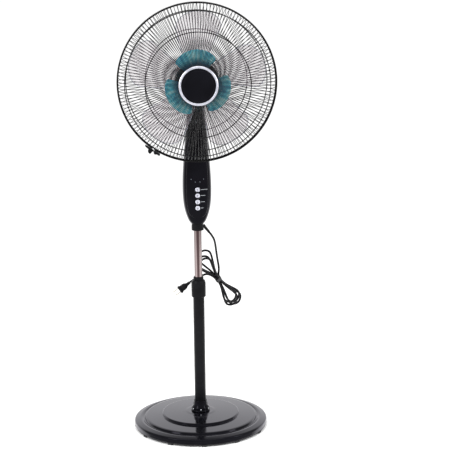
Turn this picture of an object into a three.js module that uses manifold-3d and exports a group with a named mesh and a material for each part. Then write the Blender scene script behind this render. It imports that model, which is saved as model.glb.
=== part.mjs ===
// Pedestal fan with a round weighted base, a telescopic pole, a control column and a 16 inch guard.
// Millimetres, +Z up. The origin is on the floor under the pole; the fan blows towards -Y.
import * as THREE from 'three';
import { mergeVertices } from 'three/addons/utils/BufferGeometryUtils.js';
import Module from 'manifold-3d';

const wasm = await Module();
wasm.setup();

// ---------------------------------------------------------------- clearances
const roundSides = 20;      // facets of a small round piece
const wideSides = 32;       // facets of a wide round piece
const gap = 0.3;            // between pieces that seat on each other
const runGap = 0.4;         // between pieces that slide or turn on each other

// ---------------------------------------------------------------- main heights and tubes
const fanHeight = 990;      // fan axis over the floor
const housingRadius = 54;
const tiltHeight = fanHeight - housingRadius - 10;
const columnTop = tiltHeight - 21;
const columnTall = 318;
const columnBottom = columnTop - columnTall;
const outerPoleRadius = 16;
const outerPoleTop = columnBottom - 185;
const innerPoleRadius = 11;
const innerPoleBottom = outerPoleTop - 128;

// ---------------------------------------------------------------- base
const baseRadius = 188;
const baseWall = 2.4;
const baseEdge = 3.6;       // height of the cover's lower edge over the floor
const rimHeight = 27;       // crest of the raised rim
const rimWidth = 30;
const stepWidth = 50;       // lower terrace, between the rim and the upper step
const terraceHeight = 30;
const crownHeight = 38;
const centreHeight = 41;
const footHeight = 3;
const footCount = 12;
const trayThickness = 2.5;
const weightInner = 45;
const weightHeight = 9;
const boltRadius = 4;
const boltHeadRadius = 9;
const boltHeadHeight = 7;

// ---------------------------------------------------------------- pole
const socketRadius = outerPoleRadius + 10.5;
const socketFloor = 8;
const socketFlange = 12;
const socketHeight = 31;
const outerPoleWall = 1.4;
const innerPoleWall = 1.2;
const poleBushLength = 22;
const collarRadius = outerPoleRadius + 4.2;
const collarHeight = 48;
const collarOverlap = 26;   // how far the lock collar reaches down over the outer pole
const colletRise = 10;      // how far the collet stands out of the lock collar
const pistonLength = 12;

// ---------------------------------------------------------------- control column
const columnWall = 2.2;
const neckCollarRadius = innerPoleRadius + 5.9;
const neckCollarHeight = 20;
const sleeveRadius = innerPoleRadius + 3.5;
const sleeveTop = columnBottom + 53;
const columnFoot = sleeveRadius + 3.1;
const poleInsertion = 35;   // how far the inner pole reaches up into the neck collar
// height above columnBottom, half width, half depth
const columnStations = [
  [0, columnFoot, columnFoot], [5, columnFoot + 4.4, columnFoot + 2.9], [15, 27, 23.5], [33, 33, 27],
  [52, 37, 29.5], [76, 39.2, 31], [115, 39.5, 31.5], [164, 37, 30], [215, 32.5, 28.3], [273, 28, 27.6],
  [columnTall, 23.4, 25.5],
];
const columnSides = 18;
const fasciaInset = 0.76;   // share of the column's half width that the face panel covers
const fasciaThickness = 1.6;
const fasciaBottom = columnBottom + 17;
const fasciaTop = columnTop - 7;
const buttonRadius = 6.5;
const buttonHeights = [100, 83.5, 65.6, 48.3].map((rise) => columnBottom + rise);
const buttonTravel = 1.5;
const ledRadius = 1.6;
const ledPlaces = [[-16.5, 129], [-5.5, 121.5], [7, 121.5], [17, 129]]
  .map(([x, rise]) => [x, columnBottom + rise]);
const boardSize = [44, 1.6, 104];
const boardCentre = [0, -19, columnBottom + 89];

// ---------------------------------------------------------------- oscillation
const spigotRadius = 8;
const spigotLength = 29;
const yokeRadius = 25;
const yokeThickness = 8;
const bushWall = 5;
const bushLength = 12;
const panTeeth = 27;
const pinionTeeth = 9;
const gearCentres = 17;     // distance from the pan axis to the pinion axis
const toothDepth = 1.6;
const gearWidth = 8;
const gearTop = columnTop - 17;
const stepperRadius = 13;
const stepperHeight = 18;

// ---------------------------------------------------------------- head
const lugRadius = 9.5;
const lugThickness = 5;
const yokeLugWidth = 19.2;
const tiltBoltRadius = 4;
const housingWall = 2.5;
const housingFront = -38;
const housingRear = 85;
const bossRadius = 18;
const bossFront = -58;
const bearingRadius = 9;
const bearingWidth = 7;
const shaftRadius = 4;
const shaftRear = 30;
const shaftFront = -158;
const statorLength = 38;
const statorRear = 12;
const coreRadius = 23.5;

// ---------------------------------------------------------------- guards and blades
const guardRadius = 212;    // outside of the guard hoop
const hoopThickness = 1.8;
const hoopWidth = 17;
const hoopLip = 3.4;
const hoopSides = 40;       // facets of the hoop and of the two rims inside it
const rimPlane = -109;      // middle plane of the hoop
const rimWire = 2.2;        // radius of the rim rings
const guardWire = 1.5;      // radius of the ribs and of the inner rings
const ribCount = 10;
const rimInset = 4.5;       // from the outside of the hoop to the middle of a rim
// share of the way from the rim to the centre plate, and distance along Y
const frontRib = [[0, -113.2], [0.035, -128], [0.105, -150], [0.441, -172], [0.733, -179.5], [1, -182.4]];
const rearRib = [[0, -104.8], [0.035, -93], [0.125, -80], [0.457, -58], [0.711, -48], [1, -43.8]];
const frontPlateRadius = 52;
const rearPlateRadius = 54;
const plateThickness = 3;
const frontPlateFace = -184;
const rearPlateFace = -44.5;
const badgeRadius = 51.7;
const badgeRingWidth = 6.2;
const badgeThickness = 3;
const bladeRadius = guardRadius * 0.885;
const hubRadius = 58;
const hubRear = -66;
const hubFront = -116;
const bladeThickness = 2.4;
const bladeCount = 5;
const smallBladeRadius = 90;
const smallBladeCount = 3;
const smallHubRadius = 20;
const smallHubLength = 26;
const nutRadius = 14;

// ---------------------------------------------------------------- guard clip
const clipAngle = THREE.MathUtils.degToRad(-124.5);   // from +X, seen from the front
const clipLength = 50;
const clipRise = 5;
const clipPivot = 4.4;      // end of the lever's strap, along the hoop from the clip's middle

// ---------------------------------------------------------------- mains cord
const cordRadius = 3;
const cordSides = 8;
const glandLength = 26;
const glandRadius = 4.8;
const hankCentre = new THREE.Vector3(57.5, 36, columnBottom - 171);
const hankAxis = new THREE.Vector3(-0.57, 0, 0.82).normalize();
const hankHalfLength = 92;
const hankLobe = 24;
const hankWaist = 9;
const hankDepth = 22;
const tieWidth = 8;
const tieThickness = 1.6;
const plugLength = 37;
const plugBlade = [6.3, 1.5, 17];
const plugBladeGap = 12.7;

// ================================================================ solids
function clean(geometry) {
  const bare = new THREE.BufferGeometry();
  bare.setAttribute('position', geometry.getAttribute('position').clone());
  if (geometry.index) bare.setIndex(geometry.index.clone());
  const merged = mergeVertices(bare, 1e-4);
  const ids = merged.index.array;
  const kept = [];
  for (let i = 0; i < ids.length; i += 3) {
    const [a, b, c] = [ids[i], ids[i + 1], ids[i + 2]];
    if (a !== b && b !== c && c !== a) kept.push(a, b, c);
  }
  merged.setIndex(kept);
  if (volume(merged) < 0) {
    for (let i = 0; i < kept.length; i += 3) [kept[i], kept[i + 1]] = [kept[i + 1], kept[i]];
    merged.setIndex(kept);
  }
  merged.computeVertexNormals();
  return merged;
}

function volume(geometry) {
  const p = geometry.getAttribute('position');
  const [a, b, c] = [new THREE.Vector3(), new THREE.Vector3(), new THREE.Vector3()];
  let sum = 0;
  for (let i = 0; i < geometry.index.count; i += 3) {
    a.fromBufferAttribute(p, geometry.index.getX(i));
    b.fromBufferAttribute(p, geometry.index.getX(i + 1));
    c.fromBufferAttribute(p, geometry.index.getX(i + 2));
    sum += a.dot(b.cross(c));
  }
  return sum / 6;
}

function toSolid(geometry) {
  const shape = clean(geometry);
  const mesh = new wasm.Mesh({
    numProp: 3,
    vertProperties: new Float32Array(shape.getAttribute('position').array),
    triVerts: new Uint32Array(shape.index.array),
  });
  return new wasm.Manifold(mesh);
}

function fromSolid(solid) {
  const mesh = solid.getMesh();
  const geometry = new THREE.BufferGeometry();
  geometry.setAttribute('position', new THREE.BufferAttribute(new Float32Array(mesh.vertProperties), 3));
  geometry.setIndex(Array.from(mesh.triVerts));
  geometry.computeVertexNormals();
  return geometry;
}

function cut(geometry, ...tools) {
  return fromSolid(tools.reduce((body, tool) => body.subtract(toSolid(tool)), toSolid(geometry)));
}

function join(first, ...others) {
  return fromSolid(others.reduce((body, other) => body.add(toSolid(other)), toSolid(first)));
}

function common(first, second) {
  return fromSolid(toSolid(first).intersect(toSolid(second)));
}

// ================================================================ shapes
const vectors = (points) => points.map(([x, y]) => new THREE.Vector2(x, y));

// A profile of [radius, height] turned about Z. A closed one repeats its first point.
function turnZ(profile, segments = roundSides) {
  return clean(new THREE.LatheGeometry(vectors(profile), segments).rotateX(Math.PI / 2));
}

// A profile of [radius, y] turned about Y.
function turnY(profile, segments = roundSides) {
  return clean(new THREE.LatheGeometry(vectors(profile), segments));
}

const loopOf = (points) => [...points, points[0]];

function ringProfile(inner, outer, low, high) {
  return loopOf([[inner, low], [outer, low], [outer, high], [inner, high]]);
}

function rodProfile(radius, low, high) {
  return [[0, low], [radius, low], [radius, high], [0, high]];
}

function box(size, centre) {
  return new THREE.BoxGeometry(...size).translate(...centre);
}

// A rod from one point to another, with its own radius at each end.
function rod(from, to, radiusFrom, radiusTo = radiusFrom, sides = 16) {
  const length = from.distanceTo(to);
  const shape = new THREE.CylinderGeometry(radiusTo, radiusFrom, length, sides);
  const turn = new THREE.Quaternion().setFromUnitVectors(
    new THREE.Vector3(0, 1, 0), to.clone().sub(from).normalize());
  return shape.applyQuaternion(turn).translate(...from.clone().add(to).multiplyScalar(0.5).toArray());
}

// A round bar bent along a smooth curve through the points.
function bar(points, radius, sides, steps) {
  const section = new THREE.Shape();
  for (let i = 0; i < sides; i += 1) {
    const angle = (i + 0.5) / sides * 2 * Math.PI;
    const [x, y] = [radius * Math.cos(angle), radius * Math.sin(angle)];
    if (i) section.lineTo(x, y);
    else section.moveTo(x, y);
  }
  section.closePath();
  const extrudePath = new THREE.CatmullRomCurve3(points);
  return clean(new THREE.ExtrudeGeometry(section, { steps, extrudePath, curveSegments: 1 }));
}

// A closed skin through rings of points. Each end is a strip across its ring, so a thin bent ring is
// closed between its edges. From the side otherFrom on, the skin uses the other diagonals.
function loft(rings, otherFrom = Infinity) {
  const sides = rings[0].length;
  const positions = rings.flat().flatMap((p) => [p.x, p.y, p.z]);
  const index = [];
  for (let r = 0; r + 1 < rings.length; r += 1) {
    for (let s = 0; s < sides; s += 1) {
      const [a, b] = [r * sides + s, r * sides + (s + 1) % sides];
      const [c, d] = [a + sides, b + sides];
      if (s < otherFrom) index.push(a, b, d, a, d, c);
      else index.push(a, b, c, b, d, c);
    }
  }
  const last = (rings.length - 1) * sides;
  for (let [low, high] = [0, sides - 1]; low + 1 < high; low += 1, high -= 1) {
    index.push(low, high, low + 1, last + low, last + low + 1, last + high);
    if (low + 2 < high) index.push(low + 1, high, high - 1, last + low + 1, last + high - 1, last + high);
  }
  const geometry = new THREE.BufferGeometry();
  geometry.setAttribute('position', new THREE.Float32BufferAttribute(positions, 3));
  geometry.setIndex(index);
  return clean(geometry);
}

function colour(hex, roughness, metalness = 0, opacity = 1) {
  return new THREE.MeshStandardMaterial({
    color: hex, roughness, metalness, opacity, transparent: opacity < 1,
  });
}

const glossBlack = () => colour(0x0b0b0d, 0.15);
const satinBlack = () => colour(0x161618, 0.45);
const mattBlack = () => colour(0x1c1c1e, 0.7);
const chrome = () => colour(0xc9bcb8, 0.12, 1);
const steel = () => colour(0x9a9da1, 0.4, 1);
const greyPlastic = () => colour(0x77797c, 0.6);
const silver = () => colour(0xe6e7ea, 0.25, 0.6);

function place(group, name, geometry, material) {
  const mesh = new THREE.Mesh(geometry, material);
  mesh.name = name;
  group.add(mesh);
  return mesh;
}

const fan = new THREE.Group();
const base = new THREE.Group();
const mast = new THREE.Group();
const pan = new THREE.Group();
const head = new THREE.Group();
const rotor = new THREE.Group();
head.position.z = fanHeight;
rotor.position.z = fanHeight;
fan.add(base, mast, pan, head, rotor);

// ================================================================ base
function buildBase() {
  const rimInner = baseRadius - rimWidth;
  const crownRadius = rimInner - stepWidth;
  const boltHole = boltRadius + gap;
  const outside = [
    [boltHole, centreHeight], [socketRadius + 10, centreHeight], [crownRadius, crownHeight],
    [crownRadius + 2, terraceHeight + 4], [rimInner, terraceHeight], [rimInner + 2, rimHeight - 3.5],
    [rimInner + 8, rimHeight - 0.8], [rimInner + 14, rimHeight], [baseRadius - 8, rimHeight - 3],
    [baseRadius - 2, rimHeight - 9], [baseRadius, rimHeight - 15], [baseRadius, baseEdge],
  ];
  const inside = outside.slice(1, -1).map(([r, z]) => [r - baseWall, z - baseWall]).reverse();
  const profile = [
    ...outside, [baseRadius - baseWall, baseEdge], ...inside, [boltHole, centreHeight - baseWall],
  ];
  place(base, 'base_cover', turnZ(loopOf(profile), wideSides), glossBlack());

  const trayRadius = baseRadius - baseWall - gap;
  const trayBottom = footHeight;
  const tray = turnZ(ringProfile(boltHeadRadius + 6, trayRadius, trayBottom, trayBottom + trayThickness), wideSides);
  const feet = [];
  for (let i = 0; i < footCount; i += 1) {
    const foot = box([16, 14, footHeight + 1], [0, -(trayRadius - 8), (footHeight + 1) / 2]);
    feet.push(foot.rotateZ(i / footCount * 2 * Math.PI));
  }
  place(base, 'base_tray', join(tray, ...feet), mattBlack());

  const weightBottom = trayBottom + trayThickness + gap;
  const weightOuter = rimInner - 10;
  place(base, 'base_weight',
    turnZ(ringProfile(weightInner, weightOuter, weightBottom, weightBottom + weightHeight), 32), steel());

  const headTop = centreHeight - baseWall - gap;
  const socketBottom = centreHeight + gap;
  const shankTop = socketBottom + socketFloor - 1;
  const bolt = turnZ([
    [0, headTop - boltHeadHeight], [boltHeadRadius, headTop - boltHeadHeight], [boltHeadRadius, headTop],
    [boltRadius, headTop], [boltRadius, shankTop], [0, shankTop],
  ], 12);
  place(base, 'base_bolt', bolt, steel());

  const bore = outerPoleRadius + gap;
  const floorTop = socketBottom + socketFloor;
  place(base, 'pole_socket', turnZ(loopOf([
    [boltHole, socketBottom], [socketRadius, socketBottom], [socketRadius, socketBottom + socketFlange],
    [socketRadius - 5, socketBottom + socketFlange + 5], [bore + 4, socketBottom + socketFlange + 5],
    [bore + 2, socketBottom + socketHeight], [bore, socketBottom + socketHeight], [bore, floorTop],
    [boltHole, floorTop],
  ])), satinBlack());
  return floorTop + gap;
}

const poleBottom = buildBase();

// ================================================================ pole and height lock
const poleBore = outerPoleRadius - outerPoleWall;
const slideBore = innerPoleRadius + runGap;
const innerPoleTop = columnBottom - neckCollarHeight + poleInsertion;

function buildPole() {
  place(base, 'outer_pole',
    turnZ(ringProfile(poleBore, outerPoleRadius, poleBottom, outerPoleTop)), satinBlack());
  place(base, 'pole_bush',
    turnZ(ringProfile(slideBore, poleBore - gap, outerPoleTop - poleBushLength, outerPoleTop)),
    greyPlastic());

  const collarBottom = outerPoleTop - collarOverlap;
  const collarTop = collarBottom + collarHeight;
  const collarShoulder = outerPoleTop + 2 * gap;
  const colletRadius = outerPoleRadius - 1.8;
  const colletTop = collarTop + colletRise;
  const collet = turnZ(loopOf([
    [slideBore, outerPoleTop + gap], [colletRadius, outerPoleTop + gap], [colletRadius, colletTop - 2],
    [colletRadius - 1.2, colletTop], [slideBore, colletTop],
  ]));
  const slits = [0, 1].map((k) => box([1.6, 60, 22], [0, 0, colletTop - 10])
    .rotateZ((k + 0.5) * Math.PI / 2));
  place(base, 'collet', cut(collet, ...slits), satinBlack());

  const neck = colletRadius + runGap;
  const sleeve = outerPoleRadius + runGap;
  place(base, 'lock_collar', turnZ(loopOf([
    [sleeve, collarBottom], [collarRadius - 1.5, collarBottom], [collarRadius, collarBottom + 2],
    [collarRadius, collarTop - 4], [collarRadius - 3, collarTop], [neck, collarTop],
    [neck, collarShoulder], [sleeve, collarShoulder],
  ])), satinBlack());

  place(mast, 'inner_pole', turnZ(ringProfile(
    innerPoleRadius - innerPoleWall, innerPoleRadius, innerPoleBottom, innerPoleTop)), chrome());
  const pistonTop = innerPoleBottom - gap;
  place(mast, 'inner_pole_bush', turnZ([
    [0, pistonTop - pistonLength], [poleBore - runGap, pistonTop - pistonLength],
    [poleBore - runGap, pistonTop], [innerPoleRadius - innerPoleWall - gap, pistonTop],
    [innerPoleRadius - innerPoleWall - gap, pistonTop + 16], [0, pistonTop + 16],
  ]), greyPlastic());
}

buildPole();

// ================================================================ control column
// Half width and half depth of the column at a height, from the stations.
function columnSection(z) {
  const height = z - columnBottom;
  const next = Math.min(columnStations.findIndex(([h]) => h >= height), columnStations.length - 1);
  const [h1, w1, d1] = columnStations[Math.max(next, 1)];
  const [h0, w0, d0] = columnStations[Math.max(next, 1) - 1];
  const share = (height - h0) / (h1 - h0);
  return [w0 + (w1 - w0) * share, d0 + (d1 - d0) * share];
}

// A section is a rounded oblong: a superellipse.
function columnRing(z, grow) {
  const [halfWidth, halfDepth] = columnSection(z);
  const ring = [];
  for (let i = 0; i < columnSides; i += 1) {
    const angle = i / columnSides * 2 * Math.PI;
    const [c, s] = [Math.cos(angle), Math.sin(angle)];
    const bulge = (value) => Math.sign(value) * Math.abs(value) ** 0.8;
    ring.push([(halfWidth + grow) * bulge(c), (halfDepth + grow) * bulge(s)]);
  }
  return ring;
}

function columnSolid(grow, bottom, top) {
  const inner = columnStations.map(([h]) => h + columnBottom).filter((z) => z > bottom && z < top);
  const heights = [bottom, ...inner, top];
  return loft(heights.map((z) => columnRing(z, grow).map(([x, y]) => new THREE.Vector3(x, y, z))));
}

const faceDepth = (z) => columnSection(z)[1] + gap + fasciaThickness;

function buttonHoles(radius) {
  return buttonHeights.map((z) => rod(
    new THREE.Vector3(0, -60, z), new THREE.Vector3(0, -12, z), radius, radius, 16));
}

function ledHoles(radius) {
  return ledPlaces.map(([x, z]) => rod(
    new THREE.Vector3(x, -60, z), new THREE.Vector3(x, -10, z), radius, radius, 6));
}

const glandStart = new THREE.Vector3(neckCollarRadius - 0.6, 0, columnBottom - 7);
const glandAim = new THREE.Vector3(0.6, 0.12, -0.79).normalize();
const glandEnd = glandStart.clone().addScaledVector(glandAim, glandLength);
const screwHeight = columnBottom - neckCollarHeight / 2;

function buildColumn() {
  const shell = cut(columnSolid(0, columnBottom, columnTop),
    columnSolid(-columnWall, columnBottom + columnWall, columnTop - columnWall),
    turnZ(rodProfile(sleeveRadius + gap, columnBottom - 5, columnBottom + 20)),
    turnZ(rodProfile(spigotRadius + runGap + bushWall + gap, columnTop - 20, columnTop + 5)));
  const span = 200;
  const tall = columnTop - columnBottom + 20;
  const middle = (columnTop + columnBottom) / 2;
  const frontHalf = box([span, span, tall], [0, -span / 2 - gap / 2, middle]);
  const rearHalf = box([span, span, tall], [0, span / 2 + gap / 2, middle]);
  const front = cut(common(shell, frontHalf), ...buttonHoles(buttonRadius + runGap),
    ...ledHoles(ledRadius + gap));
  place(mast, 'front_shell', front, glossBlack());
  place(mast, 'rear_shell', common(shell, rearHalf), satinBlack());

  const outline = new THREE.Shape();
  const rows = [fasciaBottom + 14, ...columnStations.map(([h]) => h + columnBottom)
    .filter((z) => z > fasciaBottom + 20 && z < fasciaTop - 5), fasciaTop];
  const side = rows.map((z) => [columnSection(z)[0] * fasciaInset, z]);
  outline.moveTo(0, fasciaBottom);
  outline.lineTo(side[0][0] * 0.6, fasciaBottom + 3.5);
  side.forEach(([x, z]) => outline.lineTo(x, z));
  [...side].reverse().forEach(([x, z]) => outline.lineTo(-x, z));
  outline.lineTo(-side[0][0] * 0.6, fasciaBottom + 3.5);
  const prism = new THREE.ExtrudeGeometry(outline, { depth: 60, bevelEnabled: false })
    .rotateX(Math.PI / 2);
  const skin = cut(columnSolid(gap + fasciaThickness, fasciaBottom - 5, fasciaTop + 4),
    columnSolid(gap, fasciaBottom - 8, fasciaTop + 6));
  const fascia = cut(common(skin, prism), ...buttonHoles(buttonRadius + runGap), ...ledHoles(ledRadius + gap));
  place(mast, 'fascia', fascia, glossBlack());

  const [width, thickness, height] = boardSize;
  place(mast, 'control_board', box([width, thickness, height], boardCentre), colour(0x1f5a3a, 0.6));
  ledPlaces.forEach(([x, z], i) => {
    const tip = -faceDepth(z) + 0.2 + (Math.abs(x) > 10 ? 2.2 : 0.3);
    const root = boardCentre[1] - thickness / 2 - gap;
    const led = rod(new THREE.Vector3(x, tip, z), new THREE.Vector3(x, root, z), ledRadius, ledRadius, 6);
    place(mast, `led_${i + 1}`, led, colour(0x3c4247, 0.3));
  });
  buttonHeights.forEach((z, i) => {
    const face = -faceDepth(z) - 1.4;
    const root = boardCentre[1] - thickness / 2 - buttonTravel - gap;
    const button = turnY([
      [0, face + 1.2], [buttonRadius * 0.55, face + 0.8], [buttonRadius - 0.8, face], [buttonRadius, face + 0.6],
      [buttonRadius, face + 5], [2.4, face + 5], [2.4, root], [0, root],
    ], 14).translate(0, 0, z);
    place(mast, `button_${i + 1}`, button, silver());
  });

  const collarBottom = columnBottom - neckCollarHeight;
  const bore = innerPoleRadius + gap;
  const sleeve = turnZ(loopOf([
    [bore, collarBottom], [neckCollarRadius - 1, collarBottom], [neckCollarRadius, collarBottom + 1],
    [neckCollarRadius, columnBottom - gap], [sleeveRadius, columnBottom - gap], [sleeveRadius, sleeveTop],
    [bore, sleeveTop],
  ]));
  const back = glandStart.clone().addScaledVector(glandAim, -gap);
  const glandSeat = rod(back, glandEnd, glandRadius + gap, glandRadius + gap, 16);
  const screwHole = rod(new THREE.Vector3(0, bore - 2, screwHeight),
    new THREE.Vector3(0, neckCollarRadius + 3, screwHeight), 2.3, 2.3, 12);
  place(mast, 'neck_collar', cut(sleeve, glandSeat, screwHole), satinBlack());
  const screw = turnY([
    [0, innerPoleRadius + gap], [2, innerPoleRadius + gap], [2, neckCollarRadius + gap],
    [3.8, neckCollarRadius + gap], [3.2, neckCollarRadius + 2.4], [0, neckCollarRadius + 2.4],
  ], 12).translate(0, 0, screwHeight);
  place(mast, 'collar_screw', screw, steel());
}

buildColumn();

// ================================================================ oscillation drive and yoke
// A gear blank with straight-sided teeth; turn shifts the first tooth, in teeth.
function gear(teeth, pitchRadius, bore, low, high, turn) {
  const outline = new THREE.Shape();
  const tip = pitchRadius + toothDepth / 2 - 0.35;
  const root = pitchRadius - toothDepth / 2 - 0.35;
  const corners = [[-0.34, root], [-0.16, tip], [0.16, tip], [0.34, root]];
  for (let i = 0; i < teeth; i += 1) {
    corners.forEach(([share, radius], k) => {
      const angle = (i + share + turn) / teeth * 2 * Math.PI;
      const [x, y] = [radius * Math.cos(angle), radius * Math.sin(angle)];
      if (i || k) outline.lineTo(x, y);
      else outline.moveTo(x, y);
    });
  }
  outline.closePath();
  const hole = new THREE.Path().absarc(0, 0, bore, 0, 2 * Math.PI, true);
  outline.holes.push(hole);
  const shape = new THREE.ExtrudeGeometry(outline, { depth: high - low, bevelEnabled: false, curveSegments: 8 });
  return clean(shape.translate(0, 0, low));
}

function buildPan() {
  const pitch = gearCentres / (panTeeth + pinionTeeth);
  const gearBottom = gearTop - gearWidth;
  const bore = spigotRadius + gap;
  const yokeBottom = columnTop + gap;
  const yokeTop = yokeBottom + yokeThickness;
  const spigotBottom = yokeBottom - spigotLength;
  const foot = turnZ([
    [0, spigotBottom], [spigotRadius, spigotBottom], [spigotRadius, yokeBottom], [yokeRadius - 1, yokeBottom],
    [yokeRadius, yokeBottom + 1], [yokeRadius, yokeTop - 2], [yokeRadius - 3, yokeTop], [0, yokeTop],
  ]);
  const rise = box([yokeLugWidth, 2 * lugRadius, tiltHeight - yokeTop + 2], [0, 0, (tiltHeight + yokeTop - 2) / 2]);
  const eye = rod(new THREE.Vector3(-yokeLugWidth / 2, 0, tiltHeight),
    new THREE.Vector3(yokeLugWidth / 2, 0, tiltHeight), lugRadius, lugRadius);
  const pinHole = rod(new THREE.Vector3(-40, 0, tiltHeight), new THREE.Vector3(40, 0, tiltHeight),
    tiltBoltRadius + runGap, tiltBoltRadius + runGap, 16);
  place(pan, 'yoke', cut(join(foot, rise, eye), pinHole), satinBlack());

  const bushTop = columnTop - gap;
  place(mast, 'pan_bush', turnZ(ringProfile(
    spigotRadius + runGap, spigotRadius + runGap + bushWall, bushTop - bushLength, bushTop)), greyPlastic());
  place(pan, 'pan_gear', gear(panTeeth, pitch * panTeeth, bore, gearBottom, gearTop, 0.25), greyPlastic());

  const stepperTop = spigotBottom - gap;
  const shaftTop = gearTop + 1;
  const shaftY = gearCentres;
  const can = turnZ(rodProfile(stepperRadius, stepperTop - stepperHeight, stepperTop))
    .translate(0, gearCentres - 8, 0);
  const stub = turnZ(rodProfile(1.6, stepperTop - 2, shaftTop), 12).translate(0, shaftY, 0);
  place(mast, 'osc_motor', join(can, stub), steel());
  const pinion = gear(pinionTeeth, pitch * pinionTeeth, 1.6 + gap, gearBottom, gearTop, 0.75);
  place(mast, 'osc_pinion', pinion.translate(0, gearCentres, 0), colour(0xd8d4c8, 0.6));

  const reach = yokeLugWidth / 2 + gap + lugThickness + gap;
  const tiltBolt = rod(new THREE.Vector3(-reach - 4, 0, tiltHeight),
    new THREE.Vector3(reach + 9, 0, tiltHeight), tiltBoltRadius, tiltBoltRadius, 16);
  const boltHead = rod(new THREE.Vector3(-reach - 5, 0, tiltHeight),
    new THREE.Vector3(-reach, 0, tiltHeight), tiltBoltRadius + 3, tiltBoltRadius + 3, 12);
  place(pan, 'tilt_bolt', join(tiltBolt, boltHead), steel());
  const hexCorner = 1 / Math.cos(Math.PI / 6);
  const tiltNut = turnZ(ringProfile(
    (tiltBoltRadius + gap) * hexCorner, (tiltBoltRadius + 3) * hexCorner, reach, reach + 5), 6)
    .rotateY(Math.PI / 2).translate(0, 0, tiltHeight);
  place(pan, 'tilt_nut', tiltNut, steel());
}

buildPan();

// ================================================================ motor, in the head's own frame
const shaftHole = shaftRadius + gap;
const motorPlateFront = rearPlateFace + plateThickness + gap;

function buildMotor() {
  const inside = housingRadius - housingWall;
  const tail = housingRear;
  const shell = turnY(loopOf([
    [inside, housingFront], [housingRadius, housingFront], [housingRadius, tail - 50],
    [housingRadius - 6, tail - 26], [housingRadius - 22, tail - 7], [10, tail], [10, tail - housingWall],
    [housingRadius - 22 - 1, tail - 7 - housingWall], [housingRadius - 6 - housingWall, tail - 26],
    [inside, tail - 50],
  ]));
  const axis = tiltHeight - fanHeight;
  const rise = -(housingRadius - 1.6) - axis;
  const x0 = yokeLugWidth / 2 + gap;
  const hinge = [-1, 1].flatMap((side) => {
    const middle = side * (x0 + lugThickness / 2);
    const [from, to] = [middle - lugThickness / 2, middle + lugThickness / 2];
    return [
      box([lugThickness, 2 * lugRadius, rise], [middle, 0, axis + rise / 2]),
      rod(new THREE.Vector3(from, 0, axis), new THREE.Vector3(to, 0, axis), lugRadius, lugRadius),
    ];
  });
  const pinHole = rod(new THREE.Vector3(-60, 0, axis), new THREE.Vector3(60, 0, axis),
    tiltBoltRadius + runGap, tiltBoltRadius + runGap, 16);
  place(head, 'motor_housing', cut(join(shell, ...hinge), pinHole), satinBlack());

  const plateRear = motorPlateFront + 7;
  place(head, 'motor_front_plate', turnY(loopOf([
    [bearingRadius + gap, bossFront], [bossRadius, bossFront], [bossRadius, motorPlateFront],
    [inside - gap, motorPlateFront], [inside - gap, plateRear], [bearingRadius + gap, plateRear],
  ])), steel());
  const bearing = ringProfile(shaftHole, bearingRadius, 0, bearingWidth);
  place(head, 'bearing_front', turnY(bearing, 16).translate(0, plateRear - bearingWidth, 0), steel());
  const rearPlate = statorRear + 6;
  place(head, 'motor_rear_plate', turnY(
    ringProfile(bearingRadius + gap, inside - gap, rearPlate, rearPlate + bearingWidth)), steel());
  place(head, 'bearing_rear', turnY(bearing, 16).translate(0, rearPlate, 0), steel());

  const statorFront = statorRear - statorLength;
  place(head, 'stator', turnY(ringProfile(
    coreRadius + 0.6, inside - 4, statorFront, statorRear)), colour(0xa5673f, 0.5, 0.6));
  place(rotor, 'rotor_core', turnY(ringProfile(shaftHole, coreRadius, statorFront, statorRear)), steel());
  place(rotor, 'shaft', turnY([
    [0, shaftFront], [shaftRadius - 1, shaftFront], [shaftRadius, shaftFront + 1], [shaftRadius, shaftRear],
    [0, shaftRear],
  ], 16), steel());
}

buildMotor();

// ================================================================ guards
// A three-sided bar through points that lie in the XY plane.
function rib(path, radius) {
  const corners = [0, 1, 2].map((k) => k / 3 * 2 * Math.PI);
  return loft(path.map((point, i) => {
    const along = path[Math.min(i + 1, path.length - 1)].clone().sub(path[Math.max(i - 1, 0)]).normalize();
    const up = new THREE.Vector3(-along.y, along.x, 0);
    return corners.map((angle) => point.clone().addScaledVector(up, radius * Math.cos(angle))
      .add(new THREE.Vector3(0, 0, radius * Math.sin(angle))));
  }));
}

function guard(ribs, plateRadius, plateFace, plateBore, phase) {
  const pieces = [];
  const outer = guardRadius - rimInset;
  const points = ribs.map(([share, y]) => [outer + (plateRadius - 2 - outer) * share, y]);
  const wireRing = ([middle, y], radius, sides, segments) => {
    const profile = [];
    for (let i = 0; i < sides; i += 1) {
      const angle = (i + 0.5) / sides * 2 * Math.PI;
      profile.push([middle + radius * Math.cos(angle), y + radius * Math.sin(angle)]);
    }
    return turnY(loopOf(profile), segments);
  };
  pieces.push(wireRing(points[0], rimWire, 4, hoopSides));
  [points[2], points[3]].forEach((point) => pieces.push(wireRing(point, guardWire, 3, 30)));
  const path = points.map(([radius, y]) => new THREE.Vector3(radius, y, 0));
  for (let i = 0; i < ribCount; i += 1) {
    pieces.push(rib(path, guardWire).rotateY((i + phase) / ribCount * 2 * Math.PI));
  }
  const plate = turnY(ringProfile(plateBore, plateRadius, plateFace, plateFace + plateThickness));
  return join(plate, ...pieces);
}

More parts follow.
